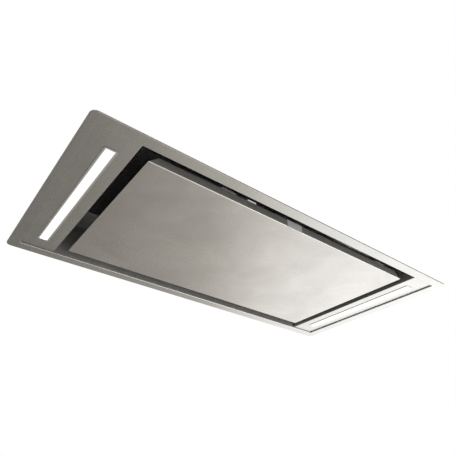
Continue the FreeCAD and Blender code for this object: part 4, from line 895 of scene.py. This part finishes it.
class HoodPanelHinges(bpy.types.Operator):
    """Finish the panel's hinges: brackets, arms, pins and their clips"""

    bl_idname = "hood.panel_hinges"
    bl_label = "Panel hinges"

    def execute(self, context):
        return dress_all(
            ("panel_hinge_brackets panel_hinge_arms", "galvanised_small", 0.0003),
            ("hinge_pins", "zinc_plate", 0.0003),
            ("hinge_pin_clips", "zinc_plate", 0.0001))


class HoodFilters(bpy.types.Operator):
    """Build the grease filters' diamond nets and finish their frames, latches and deck"""

    bl_idname = "hood.filters"
    bl_label = "Grease filters"

    def execute(self, context):
        for word in SIDES:
            self.net(word)
            dress_all((f"filter_frame_{word}", "mill_aluminium", 0.0008),
                      (f"filter_latch_{word}", "black_plastic", 0.0004))
        return dress_all(("filter_deck", "galvanised", 0.0001))

    def net(self, word):
        """Layers of diamonds, the upper ones shifted, cut to the filter's opening."""
        low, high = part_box("filter_mesh_" + word)
        middle, span = (low + high) / 2, high - low
        pitch = detail().net_pitch
        cells = math.ceil(span.x / pitch + 2 * span.y / pitch) + 2
        turn = Matrix.Rotation(math.radians(45), 4, "Z")
        spread = Matrix.Diagonal((pitch / math.sqrt(2), pitch / 2 / math.sqrt(2), 1, 1))
        bm = bmesh.new()
        for level in (low.z + span.z * share for share in NET_LAYERS):
            offset = pitch / 3 if level > middle.z else 0
            place = Matrix.Translation((middle.x + offset, middle.y, level)) @ spread @ turn
            bmesh.ops.create_grid(bm, x_segments=cells, y_segments=cells, size=cells / 2, matrix=place)
        for corner, sign in ((low, 1), (high, -1)):
            for axis in (Vector((1, 0, 0)), Vector((0, 1, 0))):
                bmesh.ops.bisect_plane(bm, geom=bm.verts[:] + bm.edges[:] + bm.faces[:], dist=WELD,
                                       plane_co=corner, plane_no=axis * -sign, clear_outer=True)
        bmesh.ops.wireframe(bm, faces=bm.faces, thickness=detail().net_strand, use_replace=True,
                            use_boundary=True, use_even_offset=True)
        finish_piece(f"filter_net_{word}", bm, [f"filter_mesh_{word}"], "oiled_net")


class HoodCabinet(bpy.types.Operator):
    """Build the galvanised cabinet with its pressed beads, and finish its lid, hangers and cable gland"""

    bl_idname = "hood.cabinet"
    bl_label = "Cabinet"

    def execute(self, context):
        sizes = sheet()
        low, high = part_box("housing_shell")
        bend, flange = sizes.cabinet_bend, sizes.cabinet_flange
        steps = [(high.x, high.y, bend, low.z)]
        for inset, rise in fold(bend, sizes.bend_steps):
            steps.append((high.x - inset, high.y - inset, max(bend - inset, SMALL_CORNER), high.z - rise))
        steps.append((high.x - flange, high.y - flange, SMALL_CORNER, high.z))
        bm = bmesh.new()
        skin(bm, steps)
        turn_faces(bm, bm.faces, 1)
        for side in (-1, 1):
            turn = Matrix.Rotation(math.radians(-90 * side), 4, "X")
            for x in BEAD_PLACES:
                self.bead(bm, Matrix.Translation((x, side * high.y, (low.z + high.z) / 2 + BEAD_LIFT)) @ turn)
        finish_piece("housing_shell_pressing", bm, ["housing_shell"], "galvanised",
                     thickness=sizes.cabinet_sheet, edge=0.0001)
        return dress_all(
            ("housing_lid", "galvanised", 0.0001),
            ("hanger_brackets", "galvanised_small", 0.0004),
            ("cable_gland gland_lock_nut", "black_plastic", 0.0004))

    def bead(self, bm, place):
        """One long round-ended bead pressed out of a wall; local Z points out of the wall."""
        half, rise = detail().bead_width / 2, detail().bead_rise
        before, faces = set(bm.verts), set(bm.faces)
        steps = []
        for share in BEAD_SHARES:
            inset = half * share
            level = rise * math.sin(share * math.pi / 2) - BEAD_ROOT
            steps.append((half - inset, BEAD_HALF_LENGTH - inset, (half - inset) * 0.98, level))
        close_ring(bm, skin(bm, steps)[1])
        turn_faces(bm, [face for face in bm.faces if face not in faces], 1)
        bmesh.ops.transform(bm, matrix=place, verts=[vert for vert in bm.verts if vert not in before])


class HoodFasteners(bpy.types.Operator):
    """Build every screw with a domed head and a cross recess"""

    bl_idname = "hood.fasteners"
    bl_label = "Fasteners"

    def execute(self, context):
        for node in ("housing_screws", "lid_screws", "collar_screws", "spider_screws"):
            bm = bmesh.new()
            for places in islands(node):
                self.screw(bm, places)
            face_out(bm)
            finish_piece(node + "_pan_head", bm, [node], "zinc_plate", crease=SCREW_CREASE)
        return dress_all(("wheel_nut", "zinc_plate", 0.0003))

    def screw(self, bm, places):
        """One screw, laid over the solid that the places belong to."""
        low = Vector([min(place[axis] for place in places) for axis in range(3)])
        high = Vector([max(place[axis] for place in places) for axis in range(3)])
        size, middle = high - low, (low + high) / 2
        along = min(range(3), key=lambda axis: abs(size[axis - 1] - size[axis - 2]))
        across = (along + 1) % 3
        head = max(size[across], size[(along + 2) % 3]) / 2
        widths = []
        for end in (low[along], high[along]):
            near = [place for place in places if abs(place[along] - end) < LEVEL_PLAY]
            widths.append(max(abs(place[across] - middle[across]) for place in near))
        sign = 1 if widths[1] > widths[0] else -1
        levels = sorted({round(place[along], 6) for place in places}, reverse=sign > 0)
        head_height = abs(levels[1] - levels[0])
        shank = min(widths)
        shank_length = size[along] - head_height
        way = Vector([sign if axis == along else 0 for axis in range(3)])
        seat = middle.copy()
        seat[along] = levels[0] - sign * head_height
        before = set(bm.verts)
        made = bmesh.ops.create_circle(
            bm, cap_ends=True, radius=shank, segments=detail().screw_facets,
            matrix=Matrix.Translation((0, 0, -shank_length)))["verts"]
        face = made[0].link_faces[0]
        if face.normal.z < 0:
            bmesh.ops.reverse_faces(bm, faces=[face])
        base = list(face.edges)
        face = grow(bm, face, UP * shank_length)
        face = grow(bm, face, Vector(), head / shank)
        for rise, scale in HEAD_STEPS:
            face = grow(bm, face, UP * head_height * rise, scale)
        self.cross_recess(bm, face, head_height)
        close_ring(bm, base)
        turn = way.to_track_quat("Z", "Y").to_matrix().to_4x4()
        bmesh.ops.transform(bm, matrix=Matrix.Translation(seat) @ turn,
                            verts=[vert for vert in bm.verts if vert not in before])

    def cross_recess(self, bm, face, head_height):
        """Sink a cross into the head's top."""
        face = grow(bm, face, Vector(), 0.8)
        inner = [vert for vert in face.verts
                 if min(abs(vert.co.x), abs(vert.co.y)) > 0.3 * max(abs(vert.co.x), abs(vert.co.y))]
        bmesh.ops.scale(bm, verts=inner, vec=(0.42, 0.42, 1))
        face = grow(bm, face, -UP * head_height * 0.35, 0.85)
        grow(bm, face, -UP * head_height * 0.2, 0.4)


class HoodBlower(bpy.types.Operator):
    """Finish the blower's wheel, scroll and inlet sheets"""

    bl_idname = "hood.blower"
    bl_label = "Blower"

    def execute(self, context):
        return dress_all(
            ("blower_wheel", "black_plastic", 0.0),
            ("scroll_band scroll_side_left scroll_side_right", "galvanised", 0.0001))


class HoodMotor(bpy.types.Operator):
    """Finish the motor, its spider and its rubber bushes"""

    bl_idname = "hood.motor"
    bl_label = "Motor"

    def execute(self, context):
        return dress_all(
            ("motor_shell motor_end_cap", "motor_paint", 0.0005),
            ("motor_stator motor_rotor", "iron_stack", 0.0002),
            ("motor_shaft motor_bearings", "ground_steel", 0.0003),
            ("motor_bushes", "soft_rubber", 0.0004),
            ("motor_spider", "galvanised_small", 0.0002))


class HoodOutlet(bpy.types.Operator):
    """Finish the duct collar and its two non-return flaps"""

    bl_idname = "hood.outlet"
    bl_label = "Outlet"

    def execute(self, context):
        return dress_all(
            ("outlet_collar", "black_plastic", 0.0006),
            ("damper_flap_near damper_flap_far", "black_plastic", 0.0003),
            ("flap_pin", "zinc_plate", 0.0003))


class HoodElectrics(bpy.types.Operator):
    """Finish the control box, its board, the lamp driver and the motor's capacitor"""

    bl_idname = "hood.electrics"
    bl_label = "Electrics"

    def execute(self, context):
        return dress_all(
            ("control_box control_box_cover", "grey_plastic", 0.0006),
            ("control_board", "circuit_board", 0.0002),
            ("terminal_block", "light_plastic", 0.0004),
            ("lamp_driver", "light_plastic", 0.001),
            ("motor_capacitor", "capacitor_can", 0.0008),
            ("capacitor_saddle", "galvanised_small", 0.0003))


# ---------------------------------------------------------------- stage

def bare_material(name):
    """A material with no nodes yet, and its tree."""
    material = bpy.data.materials.new(name)
    material.use_nodes = True
    material.node_tree.nodes.clear()
    return material, material.node_tree


def show(tree, shader):
    """Send a shader node to the material's output."""
    add_node(tree, "OutputMaterial", {"Surface": shader.outputs[0]})


def white_light(tree, strength):
    """A white glow."""
    return add_node(tree, "Emission", {"Color": (1, 1, 1, 1), "Strength": strength})


def seen(tree):
    """1 for rays that come from the camera, straight or through a mirror or glass, and 0 for others."""
    path = add_node(tree, "LightPath").outputs
    mirrored = combine(tree, "MAXIMUM", path["Is Camera Ray"], path["Is Glossy Ray"])
    return combine(tree, "MAXIMUM", mirrored, path["Is Transmission Ray"])


def square(name, half, level, material):
    """A flat square that looks up."""
    bm = bmesh.new()
    rectangle(bm, 2 * half, 2 * half, level)
    return stand_mesh(name, bm, material)


class HoodStageSetup(bpy.types.Operator):
    """Set up the camera, ceiling, floor, reflector, lamps and world"""

    bl_idname = "hood.stage"
    bl_label = "Stage"

    def execute(self, context):
        stage = context.scene.hood_stage
        self.camera(context, stage)
        self.world(context)
        self.ceiling(stage)
        self.floor(stage)
        self.reflector(stage)
        self.lamps(stage)
        context.scene.view_settings.view_transform = "Standard"
        return {"FINISHED"}

    def camera(self, context, stage):
        """The photo's point of view."""
        data = bpy.data.cameras.new("camera")
        data.lens = stage.camera_lens
        data.sensor_width = 36
        camera = stand("camera", data)
        back = -Vector(stage.camera_aim).normalized()
        right = Vector(stage.camera_up).cross(back).normalized()
        turn = Matrix((right, back.cross(right), back)).transposed().to_4x4()
        camera.matrix_world = Matrix.Translation(stage.camera_place) @ turn
        context.scene.camera = camera

    def world(self, context):
        """A pale room: white where it is seen, half as bright where it only lights."""
        world = bpy.data.worlds.new("pale_room")
        context.scene.world = world
        world.use_nodes = True
        tree = world.node_tree
        sky = tree.nodes["Background"]
        sky.inputs["Color"].default_value = (1, 1, 1, 1)
        feed(tree, sky, Strength=stretch(tree, seen(tree), 0, 1, 0.5, 1.0))

    def ceiling(self, stage):
        """A plain white ceiling round the hood, seen from below only; a contact shadow is painted into what
        it mirrors beside the rim.
        """
        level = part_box("ceiling_seal")[1].z + stage.ceiling_gap
        shell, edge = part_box("housing_shell")[1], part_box("trim_frame")[1]
        bm = bmesh.new()
        skin(bm, [(CEILING_REACH, CEILING_REACH, 0.01, level),
                  (shell.x + CUT_OUT_PLAY, shell.y + CUT_OUT_PLAY, 0.01, level)])
        turn_faces(bm, bm.faces, -1)
        material, tree = bare_material("plain_ceiling")
        place = combine_vectors(tree, "ABSOLUTE", own_place(tree))
        beyond = combine_vectors(tree, "SUBTRACT", place, (edge.x, edge.y, level))
        beyond = combine_vectors(tree, "MAXIMUM", beyond, (0, 0, 0))
        far = combine_vectors(tree, "LENGTH", beyond, output="Value")
        mirrored = add_node(tree, "LightPath").outputs["Is Glossy Ray"]
        # Painted contact shadow: mirror rays see the ceiling darker near the rim.
        dark = stretch(tree, far, 0.0, CONTACT_REACH, CONTACT_DEPTH, 0.0)
        white = white_light(tree, combine(tree, "SUBTRACT", 1.0, combine(tree, "MULTIPLY", mirrored, dark)))
        plaster = add_node(tree, "BsdfDiffuse", {"Color": (0.8, 0.8, 0.8, 1)})
        clear = add_node(tree, "BsdfTransparent")
        below = add_node(tree, "MixShader", {0: seen(tree), 1: plaster.outputs[0], 2: white.outputs[0]})
        back = add_node(tree, "NewGeometry").outputs["Backfacing"]
        show(tree, add_node(tree, "MixShader", {0: back, 1: below.outputs[0], 2: clear.outputs[0]}))
        thing = stand_mesh("ceiling", bm, material)
        thing.visible_shadow = thing.visible_diffuse = False
        return thing

    def floor(self, stage):
        """A plain pale floor that keeps shadows and fades into the room's white far away."""
        material, tree = bare_material("plain_floor")
        paint = add_node(tree, "BsdfDiffuse", {"Color": (0.82, 0.82, 0.82, 1)})
        distance = combine_vectors(tree, "LENGTH", own_place(tree), output="Value")
        mask = combine(tree, "MULTIPLY", stretch(tree, distance, *FLOOR_FADE), seen(tree))
        show(tree, add_node(tree, "MixShader", {0: mask, 1: paint.outputs[0],
                                                2: white_light(tree, 1.0).outputs[0]}))
        return square("floor", FLOOR_REACH, stage.floor_level, material)

    def reflector(self, stage):
        """A graded reflector under the hood, seen only as a reflection in its metal."""
        material, tree = bare_material("graded_reflector")
        place = own_place(tree)
        across = combine_vectors(tree, "DOT_PRODUCT", place, REFLECTOR_WAY, output="Value")
        ramp = add_node(tree, "ValToRGB", {"Fac": stretch(tree, across, *REFLECTOR_SPAN)})
        stops = ramp.color_ramp.elements
        for number, (at, brightness) in enumerate(REFLECTOR_LEVELS):
            if number > 1:
                stops.new(at)
            level = brightness / stage.card_bright
            stops[number].position = at
            stops[number].color = (level, level, level, 1)
        warm = stretch(tree, across, 0.0, 1.2)
        glow_tint = blend_colours(tree, warm, tuple(stage.card_tint), (1.0, 1.0, 0.985))
        side = add_node(tree, "SeparateXYZ", {0: place}).outputs["X"]
        dim = stretch(tree, side, -0.3, 0.2, stage.card_dark, 1.0)
        level = combine(tree, "MULTIPLY", combine(tree, "MULTIPLY", ramp.outputs["Color"], dim),
                        stage.card_bright)
        first = combine(tree, "LESS_THAN", add_node(tree, "LightPath").outputs["Ray Depth"], 1.5)
        show(tree, add_node(tree, "Emission", {"Color": glow_tint,
                                               "Strength": combine(tree, "MULTIPLY", level, first)}))
        card = square("reflector", REFLECTOR_REACH, stage.card_level, material)
        card.visible_camera = card.visible_diffuse = card.visible_transmission = card.visible_shadow = False
        return card

    def lamps(self, stage):
        """One main lamp and three weaker ones, all aimed at the hood."""
        for name, place, size, watts in (
                ("key_lamp", (-2.0, -2.5, 2.6), 2.0, stage.key_power),
                ("fill_lamp", (2.4, -1.6, 1.6), 2.0, stage.fill_power),
                ("back_lamp", (0.5, 2.8, 2.2), 2.0, stage.fill_power),
                ("low_lamp", (1.5, -1.5, -1.4), 1.5, stage.fill_power)):
            data = bpy.data.lights.new(name, "AREA")
            data.energy = watts
            data.size = size
            lamp = stand(name, data)
            lamp.visible_camera = False
            aim = Vector((0, 0, 0.1)) - Vector(place)
            lamp.matrix_world = Matrix.Translation(place) @ aim.to_track_quat("-Z", "Y").to_matrix().to_4x4()


# ---------------------------------------------------------------- add-on

STEPS = (
    HoodTrimFrame, HoodLightPlates, HoodLamps, HoodSuctionPanel, HoodPanelHinges, HoodFilters, HoodCabinet,
    HoodFasteners, HoodBlower, HoodMotor, HoodOutlet, HoodElectrics, HoodStageSetup,
)


class HOOD_PT_build(bpy.types.Panel):
    """Lists the hood's pieces in the 3D view's sidebar"""

    bl_idname = "HOOD_PT_build"
    bl_label = "Ceiling Hood"
    bl_space_type = "VIEW_3D"
    bl_region_type = "UI"
    bl_category = "Hood"

    def draw(self, context):
        for step in STEPS:
            self.layout.operator(step.bl_idname)
        for key, kind in SETTING_GROUPS.items():
            box = self.layout.box()
            box.label(text=kind.__doc__.strip())
            for name in kind.__annotations__:
                box.prop(getattr(context.scene, key), name)


def register():
    for kind in (*SETTING_GROUPS.values(), *STEPS, HOOD_PT_build):
        bpy.utils.register_class(kind)
    for key, kind in SETTING_GROUPS.items():
        setattr(bpy.types.Scene, key, PointerProperty(type=kind))


def unregister():
    for key in SETTING_GROUPS:
        delattr(bpy.types.Scene, key)
    for kind in reversed((*SETTING_GROUPS.values(), *STEPS, HOOD_PT_build)):
        bpy.utils.unregister_class(kind)


def main():
    register()
    make_finishes()
    for step in STEPS:
        group, name = step.bl_idname.split(".")
        getattr(getattr(bpy.ops, group), name)()
    bpy.context.view_layer.update()


if __name__ == "__main__":
    main()
